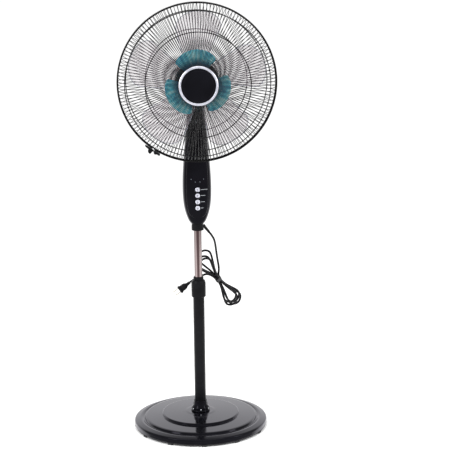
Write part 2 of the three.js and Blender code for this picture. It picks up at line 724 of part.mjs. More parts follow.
function buildGuards() {
  place(head, 'rear_guard', guard(rearRib, rearPlateRadius, rearPlateFace, bossRadius + gap, 0.5),
    glossBlack());
  place(head, 'front_guard', guard(frontRib, frontPlateRadius, frontPlateFace, 8, 0), glossBlack());
  const nutFront = rearPlateFace - gap;
  place(head, 'guard_nut', turnY(ringProfile(
    bossRadius + gap, bossRadius + 12, nutFront - 10, nutFront)), mattBlack());

  const [low, high] = [rimPlane - hoopWidth / 2, rimPlane + hoopWidth / 2];
  const inside = guardRadius - hoopThickness;
  const hoop = turnY(loopOf([
    [guardRadius, low], [guardRadius, high], [guardRadius - hoopLip, high], [guardRadius - hoopLip, high - 1.5],
    [inside, high - 1.5], [inside, low + 1.5], [guardRadius - hoopLip, low + 1.5], [guardRadius - hoopLip, low],
  ]), hoopSides);
  const split = box([30, hoopWidth + 4, 6], [guardRadius, rimPlane, 0]).rotateY(-clipAngle);
  place(head, 'guard_hoop', cut(hoop, split), glossBlack());

  const badgeRear = frontPlateFace - gap;
  const badgeFront = badgeRear - badgeThickness;
  const ringInner = badgeRadius - badgeRingWidth;
  place(head, 'badge_ring', turnY(loopOf([
    [ringInner, badgeRear], [badgeRadius, badgeRear], [badgeRadius, badgeFront + 1.4],
    [badgeRadius - 2.4, badgeFront], [ringInner + 1, badgeFront], [ringInner, badgeFront + 0.8],
  ]), 32), silver());
  place(head, 'badge_disc', turnY([
    [0, badgeFront + 0.4], [ringInner - gap, badgeFront + 1], [ringInner - gap, badgeRear], [0, badgeRear],
  ], 32), glossBlack());
}

buildGuards();

// ================================================================ guard clip
// The clip's own frame: X runs out from the fan axis, Z along the hoop, Y along the fan axis.
function buildClip() {
  const clip = new THREE.Group();
  clip.rotation.y = -clipAngle;
  clip.position.y = rimPlane;
  head.add(clip);
  const seat = guardRadius + 1.2;
  const across = (x, z, radius, width) => rod(new THREE.Vector3(seat + x, -width / 2, z),
    new THREE.Vector3(seat + x, width / 2, z), radius, radius, 14);
  const cradle = join(
    box([clipRise, hoopWidth, clipLength * 0.3], [seat + clipRise / 2, 0, clipLength * 0.33]),
    across(4.2, clipLength * 0.2, 3.8, hoopWidth));
  place(clip, 'clip_base', cradle, satinBlack());
  const leverWidth = hoopWidth - 2;
  const strap = clipLength * 0.56;
  const lever = join(
    box([3.4, leverWidth, strap], [seat + 1.9, 0, clipPivot - strap / 2]),
    across(6.4, -clipLength * 0.08, 5.4, leverWidth),
    box([5, leverWidth, 7], [seat + 10.4, 0, -clipLength * 0.08 - 1]));
  place(clip, 'clip_lever', lever, satinBlack());
}

buildClip();

// ================================================================ blades
// One blade: thin sections at rising radii, each an arc of its own half angle, tipped by its pitch.
// Its front and back share their diagonals, so that its twist doesn't change its thickness.
function blade(sections, middleY, points) {
  const rings = sections.map(([radius, centre, half, pitch, thickness]) => {
    const edge = (side) => {
      const row = [];
      for (let i = 0; i <= points; i += 1) {
        const s = 2 * i / points - 1;
        const angle = centre + half * s;
        const y = middleY + pitch * s + side * thickness / 2;
        row.push(new THREE.Vector3(radius * Math.sin(angle), y, radius * Math.cos(angle)));
      }
      return row;
    };
    return [...edge(-1), ...edge(1).reverse()];
  });
  return loft(rings, points + 1);
}

function fanOf(count, sections, middleY, points, firstAngle) {
  const blades = [];
  for (let i = 0; i < count; i += 1) {
    blades.push(blade(sections, middleY, points).rotateY(firstAngle + i / count * 2 * Math.PI));
  }
  return blades;
}

function buildBlades() {
  const degree = Math.PI / 180;
  const hub = turnY(loopOf([
    [shaftHole, hubFront], [hubRadius - 5, hubFront], [hubRadius, hubFront + 5], [hubRadius, hubRear],
    [hubRadius - 2.4, hubRear], [hubRadius - 2.4, hubFront + 5], [hubRadius - 6, hubFront + 3],
    [shaftRadius + 5, hubFront + 3], [shaftRadius + 5, hubFront + 24], [shaftHole, hubFront + 24],
  ]));
  const span = bladeRadius - hubRadius;
  const middle = (hubFront + hubRear) / 2 - 2;
  const sections = [
    [hubRadius - 1.2, -3, 27, 20], [hubRadius + span * 0.3, 0, 25.5, 19], [hubRadius + span * 0.6, 1.5, 23, 17],
    [hubRadius + span * 0.85, 3, 21, 14], [bladeRadius, 4, 13, 8],
  ].map(([r, centre, half, pitch]) => [r, centre * degree, half * degree, pitch, bladeThickness]);
  place(rotor, 'main_blade', join(hub, ...fanOf(bladeCount, sections, middle, 3, 0)),
    colour(0xdfe8ea, 0.08, 0, 0.25));

  const capRear = hubFront - gap;
  place(rotor, 'hub_cap', turnY(loopOf([
    [shaftHole, capRear - 4], [hubRadius - 4, capRear - 4], [hubRadius + 1, capRear], [shaftHole, capRear],
  ])), glossBlack());

  const smallRear = capRear - 4 - gap;
  const smallFront = smallRear - smallHubLength;
  const smallHub = turnY(loopOf([
    [shaftHole, smallFront], [smallHubRadius - 3, smallFront], [smallHubRadius, smallFront + 4],
    [smallHubRadius, smallRear], [shaftHole, smallRear],
  ]), 20);
  const reach = smallBladeRadius - smallHubRadius;
  const smallSections = [
    [smallHubRadius - 2, 0, 40, 9], [smallHubRadius + reach * 0.35, 0, 43, 10],
    [smallHubRadius + reach * 0.75, 0, 44, 10], [smallBladeRadius, 0, 34, 8],
  ].map(([r, centre, half, pitch]) => [r, centre * degree, half * degree, pitch, bladeThickness]);
  const small = fanOf(smallBladeCount, smallSections, (smallRear + smallFront) / 2, 4, -6 * degree);
  place(rotor, 'front_blade', join(smallHub, ...small), colour(0x4f97a8, 0.1, 0, 0.7));

  const nutRear = smallFront - gap;
  place(rotor, 'spinner_nut', cut(turnY([
    [0, shaftFront - 4], [nutRadius - 6, shaftFront - 3.4], [nutRadius, nutRear - 4], [nutRadius, nutRear],
    [0, nutRear],
  ]), turnY(rodProfile(shaftHole, shaftFront - gap, nutRear + 1), 16)), glossBlack());
}

buildBlades();

// ================================================================ mains cord
function buildCord() {
  place(mast, 'cord_gland', rod(glandStart, glandEnd, glandRadius, cordRadius + 0.8, 16), mattBlack());

  const v = (x, y, rise) => new THREE.Vector3(x, y, columnBottom + rise);   // from the column's foot
  const leadPoints = [
    glandEnd.clone().addScaledVector(glandAim, gap), glandEnd.clone().addScaledVector(glandAim, 10),
    v(46, 12, -50), v(50, 20, -68), v(53, 28, -93), v(57, 33, -120), v(61, 36, -145),
  ];
  place(mast, 'cord_lead', bar(leadPoints, cordRadius, cordSides, 12), mattBlack());
  const tailPoints = [
    v(22.7, 36, -156.4), v(13.5, 38, -160.5), v(2, 38, -166), v(-11, 36, -170.5), v(-22.5, 34.6, -178.6),
  ];
  place(mast, 'cord_tail', bar(tailPoints, cordRadius, cordSides, 8), mattBlack());

  const outline = new THREE.Shape();
  const centre = hankHalfLength - hankLobe;
  const lean = Math.asin((hankLobe - hankWaist) / centre);
  outline.absarc(centre, 0, hankLobe, -Math.PI / 2 - lean, Math.PI / 2 + lean);
  outline.lineTo(0, hankWaist);
  outline.absarc(-centre, 0, hankLobe, Math.PI / 2 - lean, Math.PI * 1.5 + lean);
  outline.lineTo(0, -hankWaist);
  outline.closePath();
  const hank = new THREE.ExtrudeGeometry(outline, { depth: hankDepth, bevelEnabled: false, curveSegments: 14 })
    .translate(0, 0, -hankDepth / 2);
  const across = new THREE.Vector3(0, 1, 0).cross(hankAxis).normalize();
  const frame = new THREE.Matrix4().makeBasis(hankAxis, across, hankAxis.clone().cross(across))
    .setPosition(hankCentre);
  place(mast, 'cord_hank', clean(hank.applyMatrix4(frame)), mattBlack());

  const grip = 0.6;
  const inner = [tieWidth + 2, 2 * (hankWaist + grip) + 1.2, hankDepth + 2 * grip];
  const outer = [tieWidth, inner[1] + 2 * tieThickness, inner[2] + 2 * tieThickness];
  const tie = cut(box(outer, [0, 0, 0]), box(inner, [0, 0, 0]));
  place(mast, 'cord_tie', clean(tie.applyMatrix4(frame)), mattBlack());

  const aim = new THREE.Vector3(-0.81, -0.1, -0.57).normalize();
  const start = tailPoints.at(-1).clone().addScaledVector(aim, gap);
  const plug = new THREE.Group();
  plug.position.copy(start);
  plug.quaternion.setFromUnitVectors(new THREE.Vector3(0, 0, 1), aim);
  mast.add(plug);
  const ring = (half, deep, z) => {
    const corners = [];
    for (let i = 0; i < 16; i += 1) {
      const angle = i / 16 * 2 * Math.PI;
      const soft = (value) => Math.sign(value) * Math.abs(value) ** 0.7;
      corners.push(new THREE.Vector3(half * soft(Math.cos(angle)), deep * soft(Math.sin(angle)), z));
    }
    return corners;
  };
  place(plug, 'plug_body', loft([
    ring(3.8, 3.8, 0), ring(5, 4.6, 12), ring(9, 6, 17), ring(11.5, 7.5, plugLength - 5),
    ring(11.5, 7.5, plugLength),
  ]), mattBlack());
  ['a', 'b'].forEach((letter, i) => {
    const [wide, thin, long] = plugBlade;
    const x = (i - 0.5) * plugBladeGap;
    place(plug, `plug_blade_${letter}`, box([thin, wide, long], [x, 0, plugLength + gap + long / 2]), steel());
  });
}

buildCord();

export default fan;
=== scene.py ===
import math

import bmesh
import bpy
from mathutils import Matrix, Vector


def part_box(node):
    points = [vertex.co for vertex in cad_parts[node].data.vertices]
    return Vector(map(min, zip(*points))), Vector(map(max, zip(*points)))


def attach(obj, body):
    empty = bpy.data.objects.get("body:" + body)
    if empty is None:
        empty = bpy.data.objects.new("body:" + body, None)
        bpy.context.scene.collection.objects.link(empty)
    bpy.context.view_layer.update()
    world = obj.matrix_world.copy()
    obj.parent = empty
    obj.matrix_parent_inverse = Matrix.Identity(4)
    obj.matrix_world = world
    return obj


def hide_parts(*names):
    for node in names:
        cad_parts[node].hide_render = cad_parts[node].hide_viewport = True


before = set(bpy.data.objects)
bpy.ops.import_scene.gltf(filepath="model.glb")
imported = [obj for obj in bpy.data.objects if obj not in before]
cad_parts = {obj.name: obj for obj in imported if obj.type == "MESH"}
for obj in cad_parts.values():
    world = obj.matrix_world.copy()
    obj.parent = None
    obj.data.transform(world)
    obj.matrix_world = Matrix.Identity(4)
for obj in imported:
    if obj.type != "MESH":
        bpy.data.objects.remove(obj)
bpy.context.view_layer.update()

MM = 0.001


# ---------------------------------------------------------------- places taken from the frame
def middle(node):
    low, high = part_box(node)
    return [(a + b) / 2 for a, b in zip(low, high)]


def top(node):
    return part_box(node)[1][2]


def bottom(node):
    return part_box(node)[0][2]


FAN_Z = middle("badge_ring")[2]
GUARD_R = (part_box("guard_hoop")[1][0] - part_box("guard_hoop")[0][0]) / 2
BASE_R = (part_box("base_cover")[1][0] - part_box("base_cover")[0][0]) / 2
HOOP_FRONT, HOOP_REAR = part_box("guard_hoop")[0][1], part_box("guard_hoop")[1][1]
RIM_Y = (HOOP_FRONT + HOOP_REAR) / 2
TILT_Z = middle("tilt_bolt")[2]
COLUMN_LOW, COLUMN_HIGH = bottom("front_shell"), top("front_shell")


# ---------------------------------------------------------------- camera
def place_camera():
    """A long lens, a little above the head of the fan and a step to the left of its front."""
    distance, height = 3.93, 1.456
    side = math.radians(2.7)
    turned, pitched, rolled = math.radians(1.11), math.radians(12.57), math.radians(0.72)
    data = bpy.data.cameras.new("camera")
    data.sensor_width = 36
    data.lens = 116.2
    camera = bpy.data.objects.new("camera", data)
    bpy.context.scene.collection.objects.link(camera)
    heading = Matrix.Rotation(-side - turned, 4, "Z")
    look = heading @ Matrix.Rotation(math.pi / 2 - pitched, 4, "X") @ Matrix.Rotation(-rolled, 4, "Z")
    place = Matrix.Translation((-distance * math.sin(side), -distance * math.cos(side), height))
    camera.matrix_world = place @ look
    bpy.context.scene.camera = camera


place_camera()


# ---------------------------------------------------------------- mesh and curve making
def shown(name, data, body, replaced=(), material=None):
    """Puts a mesh or curve in the scene as a piece that rides on a body."""
    piece = bpy.data.objects.new(name, data)
    bpy.context.scene.collection.objects.link(piece)
    if material:
        data.materials.append(material)
    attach(piece, body)
    if replaced:
        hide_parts(*replaced)
    return piece


def finish_mesh(name, work, crease=38):
    """Closes up a bmesh: no doubled points, faces out, smooth up to the crease angle in degrees."""
    bmesh.ops.remove_doubles(work, verts=work.verts, dist=1e-6)
    bmesh.ops.dissolve_degenerate(work, edges=work.edges, dist=1e-7)
    bmesh.ops.recalc_face_normals(work, faces=work.faces)
    mesh = bpy.data.meshes.new(name)
    work.to_mesh(mesh)
    work.free()
    mesh.polygons.foreach_set("use_smooth", [True] * len(mesh.polygons))
    mesh.set_sharp_from_angle(angle=math.radians(crease))
    return mesh


def add_skin(work, rings, ring_closed=True, around=False, capped=False):
    """Quads between rings of points; around joins the last ring to the first, capped fills both ends."""
    rows = [[work.verts.new(point) for point in ring] for ring in rings]
    count = len(rows[0])
    steps = count if ring_closed else count - 1
    pairs = list(zip(rows, rows[1:])) + ([(rows[-1], rows[0])] if around else [])
    for low, high in pairs:
        for i in range(steps):
            j = (i + 1) % count
            work.faces.new((low[i], low[j], high[j], high[i]))
    if capped:
        work.faces.new(list(reversed(rows[0])))
        work.faces.new(rows[-1])


def skin(name, rings, **how):
    crease = how.pop("crease", 38)
    work = bmesh.new()
    add_skin(work, rings, **how)
    return finish_mesh(name, work, crease)


def soften(points, radius, closed=True, steps=4):
    """The outline with each corner rounded by about the radius."""
    result = []
    count = len(points)
    for i, point in enumerate(points):
        here = Vector(point)
        if not closed and i in (0, count - 1):
            result.append(here)
            continue
        before, after = Vector(points[i - 1]) - here, Vector(points[(i + 1) % count]) - here
        reach = min(radius, 0.45 * before.length, 0.45 * after.length)
        start, end = here + before.normalized() * reach, here + after.normalized() * reach
        for k in range(steps + 1):
            t = k / steps
            result.append(start * (1 - t) ** 2 + here * 2 * t * (1 - t) + end * t * t)
    return result


def turned_rings(profile, segments, axis, origin):
    """Copies of a profile of (radius, along) turned about Z or Y through the origin."""
    rings = []
    for i in range(segments):
        angle = 2 * math.pi * i / segments
        c, s = math.cos(angle), math.sin(angle)
        if axis == "Z":
            ring = [Vector((r * c, r * s, a)) for r, a in profile]
        else:
            ring = [Vector((r * c, a, r * s)) for r, a in profile]
        rings.append([Vector(origin) + point for point in ring])
    return rings


def turned(name, profile, axis="Z", origin=(0, 0, 0), segments=96, radius=0.5, closed=True, crease=38):
    """A turned piece from a profile in millimetres, its corners softened by a radius in millimetres."""
    outline = soften([(r * MM, a * MM) for r, a in profile], radius * MM, closed)
    rings = turned_rings(outline, segments, axis, origin)
    return skin(name, rings, ring_closed=closed, around=True, crease=crease)


def smooth_line(points, steps):
    """Points along a Catmull-Rom curve through the given ones."""
    points = [Vector(p) for p in points]
    padded = [points[0] * 2 - points[1], *points, points[-1] * 2 - points[-2]]
    line = []
    for a, b, c, d in zip(padded, padded[1:], padded[2:], padded[3:]):
        for k in range(steps):
            t = k / steps
            line.append(0.5 * (2 * b + (c - a) * t + (2 * a - 5 * b + 4 * c - d) * t * t
                               + (3 * b - a - 3 * c + d) * t ** 3))
    line.append(points[-1])
    return line


def wire_curve(name, lines, radius, cyclic=False, sides=2):
    """Round wires along lines of points, as one curve object's data."""
    data = bpy.data.curves.new(name, "CURVE")
    data.dimensions = "3D"
    data.bevel_depth = radius
    data.bevel_resolution = sides
    data.use_fill_caps = not cyclic
    for line in lines:
        spline = data.splines.new("POLY")
        spline.points.add(len(line) - 1)
        for point, place in zip(spline.points, line):
            point.co = (*place, 1)
        spline.use_cyclic_u = cyclic
        spline.use_smooth = True
    return data


def baked(piece):
    """Applies a piece's modifiers to its mesh."""
    bpy.context.view_layer.update()
    source = piece.evaluated_get(bpy.context.evaluated_depsgraph_get())
    mesh = bpy.data.meshes.new_from_object(source)
    piece.modifiers.clear()
    piece.data = mesh
    return mesh


def drill(piece, tools):
    """Cuts the tool meshes out of a piece."""
    for tool in tools:
        cutter = bpy.data.objects.new("drill", tool)
        bpy.context.scene.collection.objects.link(cutter)
        cut = piece.modifiers.new("cut", "BOOLEAN")
        cut.operation = "DIFFERENCE"
        cut.solver = "EXACT"
        cut.object = cutter
        mesh = baked(piece)
        bpy.data.objects.remove(cutter)
    mesh.polygons.foreach_set("use_smooth", [True] * len(mesh.polygons))
    mesh.set_sharp_from_angle(angle=math.radians(30))


def rod_mesh(name, start, end, radius, segments=32):
    """A plain round bar, used as a drill."""
    start, end = Vector(start), Vector(end)
    turn = (end - start).to_track_quat("Z", "Y")
    rings = []
    for centre in (start, end):
        angles = [2 * math.pi * i / segments for i in range(segments)]
        rings.append([centre + turn @ Vector((radius * math.cos(a), radius * math.sin(a), 0)) for a in angles])
    return skin(name, rings, capped=True)


# ---------------------------------------------------------------- materials
def linear(code):
    """A six-figure sRGB hex colour as linear RGBA."""
    channels = [int(code[i:i + 2], 16) / 255 for i in (0, 2, 4)]
    return (*[c / 12.92 if c <= 0.04045 else ((c + 0.055) / 1.055) ** 2.4 for c in channels], 1)


def add(tree, kind, values=(), links=(), **settings):
    """Adds a node, sets its own settings and socket values, and links sources to its sockets."""
    made = tree.nodes.new(kind)
    for name, value in settings.items():
        setattr(made, name, value)
    for socket, value in dict(values).items():
        made.inputs[socket].default_value = value
    for socket, source in dict(links).items():
        tree.links.new(source, made.inputs[socket])
    return made


def surface(name, code, roughness, **sockets):
    """A new material with a Principled surface; sockets are set straight on it."""
    material = bpy.data.materials.new(name)
    material.use_nodes = True
    tree = material.node_tree
    tree.nodes.clear()
    values = {"Base Color": linear(code), "Roughness": roughness}
    values.update({key.replace("_", " "): value for key, value in sockets.items()})
    shader = add(tree, "ShaderNodeBsdfPrincipled", values)
    add(tree, "ShaderNodeOutputMaterial", links={"Surface": shader.outputs[0]})
    place = add(tree, "ShaderNodeTexCoord").outputs["Object"]
    return material, tree, shader, place


def grain(tree, shader, place, size, height, detail=2.0):
    """Bump from noise with features of a size and height in millimetres."""
    noise = add(tree, "ShaderNodeTexNoise", {"Scale": 1000 / size, "Detail": detail}, {"Vector": place})
    bump = add(tree, "ShaderNodeBump", {"Strength": 1.0, "Distance": height * MM},
               {"Height": noise.outputs[0]})
    tree.links.new(bump.outputs[0], shader.inputs["Normal"])


def patchy(tree, shader, place, size, low, high):
    """Roughness that drifts between two values over patches of a size in millimetres."""
    noise = add(tree, "ShaderNodeTexNoise", {"Scale": 1000 / size, "Detail": 4.0}, {"Vector": place})
    drift = add(tree, "ShaderNodeMapRange", {"From Min": 0.35, "From Max": 0.65, "To Min": low, "To Max": high},
                {"Value": noise.outputs[0]})
    tree.links.new(drift.outputs[0], shader.inputs["Roughness"])


def tinted(tree, shader, place, size, first, second):
    """Base colour that drifts between two hex colours over patches of a size in millimetres."""
    noise = add(tree, "ShaderNodeTexNoise", {"Scale": 1000 / size, "Detail": 3.0}, {"Vector": place})
    ramp = add(tree, "ShaderNodeValToRGB", links={"Fac": noise.outputs[0]})
    ramp.color_ramp.elements[0].position = 0.35
    ramp.color_ramp.elements[0].color = linear(first)
    ramp.color_ramp.elements[1].position = 0.65
    ramp.color_ramp.elements[1].color = linear(second)
    tree.links.new(ramp.outputs[0], shader.inputs["Base Color"])


def slant_gloss(tree, shader, square_on, slanting):
    """Weak reflection seen square on and stronger at a slant, which keeps black plastic deep."""
    weight = add(tree, "ShaderNodeLayerWeight", {"Blend": 0.5})
    level = add(tree, "ShaderNodeMapRange",
                {"From Min": 0.4, "From Max": 0.7, "To Min": square_on, "To Max": slanting},
                {"Value": weight.outputs["Facing"]})
    tree.links.new(level.outputs[0], shader.inputs["Specular IOR Level"])


def polished_abs(name, square_on, slanting):
    """Black ABS from a polished mould: deep gloss with a faint orange peel and handling haze."""
    material, tree, shader, place = surface(name, "0A0A0D", 0.1, IOR=1.54)
    shader.inputs["Specular Tint"].default_value = linear("EEEBFF")
    slant_gloss(tree, shader, square_on, slanting)
    tinted(tree, shader, place, 60, "08080B", "0D0D11")
    patchy(tree, shader, place, 45, 0.06, 0.13)
    grain(tree, shader, place, 14, 0.004)
    return material


def grained_abs():
    """Black ABS from a spark-eroded mould: an even satin with a fine grain, drawn at 0.9 mm to show."""
    material, tree, shader, place = surface("spark_grained_black_abs", "111113", 0.42, IOR=1.54)
    slant_gloss(tree, shader, 0.05, 0.3)
    tinted(tree, shader, place, 30, "0F0F11", "151517")
    patchy(tree, shader, place, 25, 0.36, 0.48)
    grain(tree, shader, place, 0.9, 0.02)
    return material


def matt_abs():
    """Black ABS left dull from the tool, for undersides and fasteners."""
    material, tree, shader, place = surface("dull_black_abs", "1B1B1D", 0.62, IOR=1.54)
    tinted(tree, shader, place, 20, "18181A", "202023")
    grain(tree, shader, place, 1.2, 0.04)
    return material


def powder_coat():
    """Black polyester powder coat on steel tube: satin gloss over a soft orange peel."""
    material, tree, shader, place = surface("black_powder_coat", "0E0E10", 0.28, IOR=1.5)
    slant_gloss(tree, shader, 0.08, 0.4)
    tinted(tree, shader, place, 50, "0C0C0E", "121215")
    patchy(tree, shader, place, 30, 0.22, 0.34)
    grain(tree, shader, place, 2.4, 0.02)
    return material


def wire_enamel():
    """Black dip enamel on drawn steel wire: glossy, a touch uneven along the wire."""
    material, tree, shader, place = surface("black_wire_enamel", "0B0B0C", 0.22, IOR=1.5)
    slant_gloss(tree, shader, 0.15, 0.5)
    tinted(tree, shader, place, 40, "090909", "101012")
    patchy(tree, shader, place, 12, 0.18, 0.3)
    return material


def warm_chrome():
    """Bronze tinted chromium plate on tube, with a painted reflection in its base colour: a dark band down the middle
    where the tube faces the view and bright flanks, and faint draw lines.
    """
    material, tree, shader, place = surface("warm_chromium_plate", "C4ADA8", 0.12, Metallic=1.0)
    # Painted reflection: the base colour follows the facing angle, dark square on and bright towards the flanks.
    weight = add(tree, "ShaderNodeLayerWeight", {"Blend": 0.5})
    ramp = add(tree, "ShaderNodeValToRGB", links={"Fac": weight.outputs["Facing"]})
    ramp.color_ramp.elements[0].color = linear("544445")
    ramp.color_ramp.elements[1].color = linear("8C8282")
    for spot, code in ((0.035, "4B3C3C"), (0.07, "746666"), (0.18, "A39695"), (0.32, "786C6C"), (0.6, "B0A6A5")):
        ramp.color_ramp.elements.new(spot).color = linear(code)
    tree.links.new(ramp.outputs[0], shader.inputs["Base Color"])
    stretched = add(tree, "ShaderNodeMapping", {"Scale": (1.0, 1.0, 0.02)}, {"Vector": place})
    lines = add(tree, "ShaderNodeTexNoise", {"Scale": 1600.0, "Detail": 2.0}, {"Vector": stretched.outputs[0]})
    bump = add(tree, "ShaderNodeBump", {"Strength": 0.25, "Distance": 0.004 * MM}, {"Height": lines.outputs[0]})
    tree.links.new(bump.outputs[0], shader.inputs["Normal"])
    patchy(tree, shader, place, 20, 0.1, 0.16)
    return material


def clear_styrene():
    """Clear polystyrene from a polished mould, thin enough to see through with a light grey cast."""
    material, tree, shader, place = surface("clear_polystyrene", "B9AFB6", 0.12, IOR=1.59, Alpha=0.24)
    slant_gloss(tree, shader, 0.1, 0.3)
    tinted(tree, shader, place, 80, "B0A6AD", "C2B8BF")
    patchy(tree, shader, place, 30, 0.08, 0.16)
    return material


def clear_edge_highlight():
    """A painted highlight: the pale line of light that the cut-off edge of clear polystyrene gathers."""
    material, tree, shader, place = surface("clear_polystyrene_edge_highlight", "9A9FAE", 0.2, IOR=1.59, Alpha=0.5)
    tinted(tree, shader, place, 30, "9398A7", "A2A7B5")
    return material


def teal_styrene():
    """Teal tinted polystyrene: glossy, with painted highlight and shade as light and dark streaks along its fine radial
    ribs and as pale patches, and a darker blue towards the hub.
    """
    material, tree, shader, place = surface("teal_polystyrene", "4BA6BC", 0.14, IOR=1.59, Alpha=0.88)
    turned_place = add(tree, "ShaderNodeMapping", {"Rotation": (math.pi / 2, 0, 0), "Location": (0, FAN_Z, 0)},
                       {"Vector": place})
    angle = add(tree, "ShaderNodeTexGradient", links={"Vector": turned_place.outputs[0]}, gradient_type="RADIAL")
    # Painted highlight and shade: streaks at the rib spacing and noise patches drive the colour from dark blue to a
    # pale highlight tint.
    ribs = add(tree, "ShaderNodeMath", {1: 2 * math.pi * 36}, {0: angle.outputs[1]}, operation="MULTIPLY")
    wave = add(tree, "ShaderNodeMath", links={0: ribs.outputs[0]}, operation="SINE")
    patches = add(tree, "ShaderNodeTexNoise", {"Scale": 1000 / 32, "Detail": 3.0}, {"Vector": place})
    mixed = add(tree, "ShaderNodeMath", {1: 0.07}, {0: wave.outputs[0], 2: patches.outputs[0]},
                operation="MULTIPLY_ADD")
    ramp = add(tree, "ShaderNodeValToRGB", links={"Fac": mixed.outputs[0]})
    ramp.color_ramp.elements[0].position = 0.32
    ramp.color_ramp.elements[0].color = linear("1F7C9C")
    ramp.color_ramp.elements[1].position = 0.72
    ramp.color_ramp.elements[1].color = linear("A9E0DF")
    ramp.color_ramp.elements.new(0.5).color = linear("4FB4C6")
    # Darker blue towards the hub.
    flat = add(tree, "ShaderNodeVectorMath", {1: (1, 1, 0)}, {0: turned_place.outputs[0]}, operation="MULTIPLY")
    far = add(tree, "ShaderNodeVectorMath", links={0: flat.outputs[0]}, operation="LENGTH")
    outer = add(tree, "ShaderNodeMapRange", {"From Min": 0.052, "From Max": 0.07}, {"Value": far.outputs["Value"]})
    deep = add(tree, "ShaderNodeMix", {"A": linear("17526F")}, {"Factor": outer.outputs[0], "B": ramp.outputs[0]},
               data_type="RGBA")
    tree.links.new(deep.outputs["Result"], shader.inputs["Base Color"])
    return material


def silver_plate():
    """Satin silver plating on plastic: bright, with a soft sheen."""
    material, tree, shader, place = surface("satin_silver_plate", "B9BAC4", 0.3, Metallic=0.85)
    tinted(tree, shader, place, 10, "B3B4BF", "C0C1CB")
    patchy(tree, shader, place, 6, 0.24, 0.34)
    return material


def cord_pvc():
    """Black flexible PVC sheath: satin, with a slight extrusion ripple."""
    material, tree, shader, place = surface("extruded_black_pvc", "101012", 0.38, IOR=1.53)
    slant_gloss(tree, shader, 0.1, 0.5)
    tinted(tree, shader, place, 15, "0E0E10", "151518")
    grain(tree, shader, place, 2.0, 0.02)
    return material


def nickel_plate():
    """Bright nickel plate on pressed brass, for the plug's blades."""
    material, tree, shader, place = surface("nickel_plated_brass", "CFCBC2", 0.2, Metallic=1.0)
    tinted(tree, shader, place, 4, "C6C2B8", "D8D5CD")
    patchy(tree, shader, place, 3, 0.15, 0.28)
    return material


def zinc_steel():
    """Zinc plated steel: pale grey metal with a fine cloudy spangle."""
    material, tree, shader, place = surface("zinc_plated_steel", "A4A7AA", 0.36, Metallic=1.0)
    tinted(tree, shader, place, 3, "989B9F", "B2B5B8")
    patchy(tree, shader, place, 4, 0.28, 0.45)
    return material


def die_cast():
    """Die-cast aluminium: light grey with a dull cast skin."""
    material, tree, shader, place = surface("die_cast_aluminium", "A9ABAD", 0.5, Metallic=1.0)
    tinted(tree, shader, place, 5, "9EA0A3", "B5B7B9")
    grain(tree, shader, place, 1.5, 0.05)
    return material


def cast_iron():
    """Sand-cast iron: dark and rough."""
    material, tree, shader, place = surface("sand_cast_iron", "3A3A3C", 0.75, Metallic=0.6)
    tinted(tree, shader, place, 8, "303032", "454547")
    grain(tree, shader, place, 1.8, 0.15)
    return material


def copper_winding():
    """Enamelled copper wire, wound in rows 1.2 mm apart."""
    material, tree, shader, place = surface("enamelled_copper_wire", "9A5A34", 0.35, Metallic=0.8)
    tinted(tree, shader, place, 6, "8A4D2B", "AC6A40")
    rows = add(tree, "ShaderNodeTexWave", {"Scale": 40.0, "Distortion": 0.6}, {"Vector": place})
    bump = add(tree, "ShaderNodeBump", {"Distance": 0.2 * MM}, {"Height": rows.outputs[1]})
    tree.links.new(bump.outputs[0], shader.inputs["Normal"])
    return material


def acetal(name, first, second):
    """Acetal with the dull, slightly waxy skin of a moulded bearing part."""
    material, tree, shader, place = surface(name, first, 0.5, IOR=1.48)
    tinted(tree, shader, place, 6, first, second)
    grain(tree, shader, place, 1.5, 0.02)
    return material


def solder_mask():
    """Green solder mask over glass-fibre board, with the weave just telling."""
    material, tree, shader, place = surface("green_solder_mask", "1E5A3A", 0.35, IOR=1.5)
    tinted(tree, shader, place, 5, "1A5034", "256845")
    grain(tree, shader, place, 0.8, 0.02)
    return material


def smoked_lens():
    """Smoked acrylic over an unlit lamp: dark, glossy, faintly grey inside."""
    material, tree, shader, place = surface("smoked_acrylic", "4A5056", 0.12, IOR=1.49)
    tinted(tree, shader, place, 1.5, "3F454B", "596067")
    return material


def pale_print():
    """Pale grey pad-printed ink."""
    material, tree, shader, place = surface("pale_grey_ink", "9DA1A6", 0.55)
    tinted(tree, shader, place, 2, "8F9398", "A9ADB1")
    return material


GLOSS, DOME = polished_abs("polished_black_abs", 0.05, 0.4), polished_abs("polished_black_abs_dome", 0.06, 1.15)
SATIN, MATT = grained_abs(), matt_abs()
COATED, ENAMEL, CHROME = powder_coat(), wire_enamel(), warm_chrome()
CLEAR, CLEAR_EDGE_HIGHLIGHT, TEAL, SILVER = clear_styrene(), clear_edge_highlight(), teal_styrene(), silver_plate()
CORD, NICKEL, ZINC = cord_pvc(), nickel_plate(), zinc_steel()
CAST, IRON, COPPER = die_cast(), cast_iron(), copper_winding()
GREY_ACETAL = acetal("grey_acetal", "6E7072", "7C7E80")
NATURAL_ACETAL = acetal("natural_acetal", "D2CDBD", "DEDACC")
BOARD, LENS, INK = solder_mask(), smoked_lens(), pale_print()


def dress(material, *nodes):
    """Gives CAD nodes that stay in view their material."""
    for name in nodes:
        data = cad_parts[name].data
        data.materials.clear()
        data.materials.append(material)


dress(ZINC, "base_bolt", "collar_screw", "shaft", "rotor_core", "bearing_front", "bearing_rear",
      "motor_rear_plate", "osc_motor")
dress(IRON, "base_weight")
dress(CAST, "motor_front_plate")
dress(COPPER, "stator")
dress(GREY_ACETAL, "pole_bush", "inner_pole_bush", "pan_bush", "pan_gear")
dress(NATURAL_ACETAL, "osc_pinion")
dress(BOARD, "control_board")

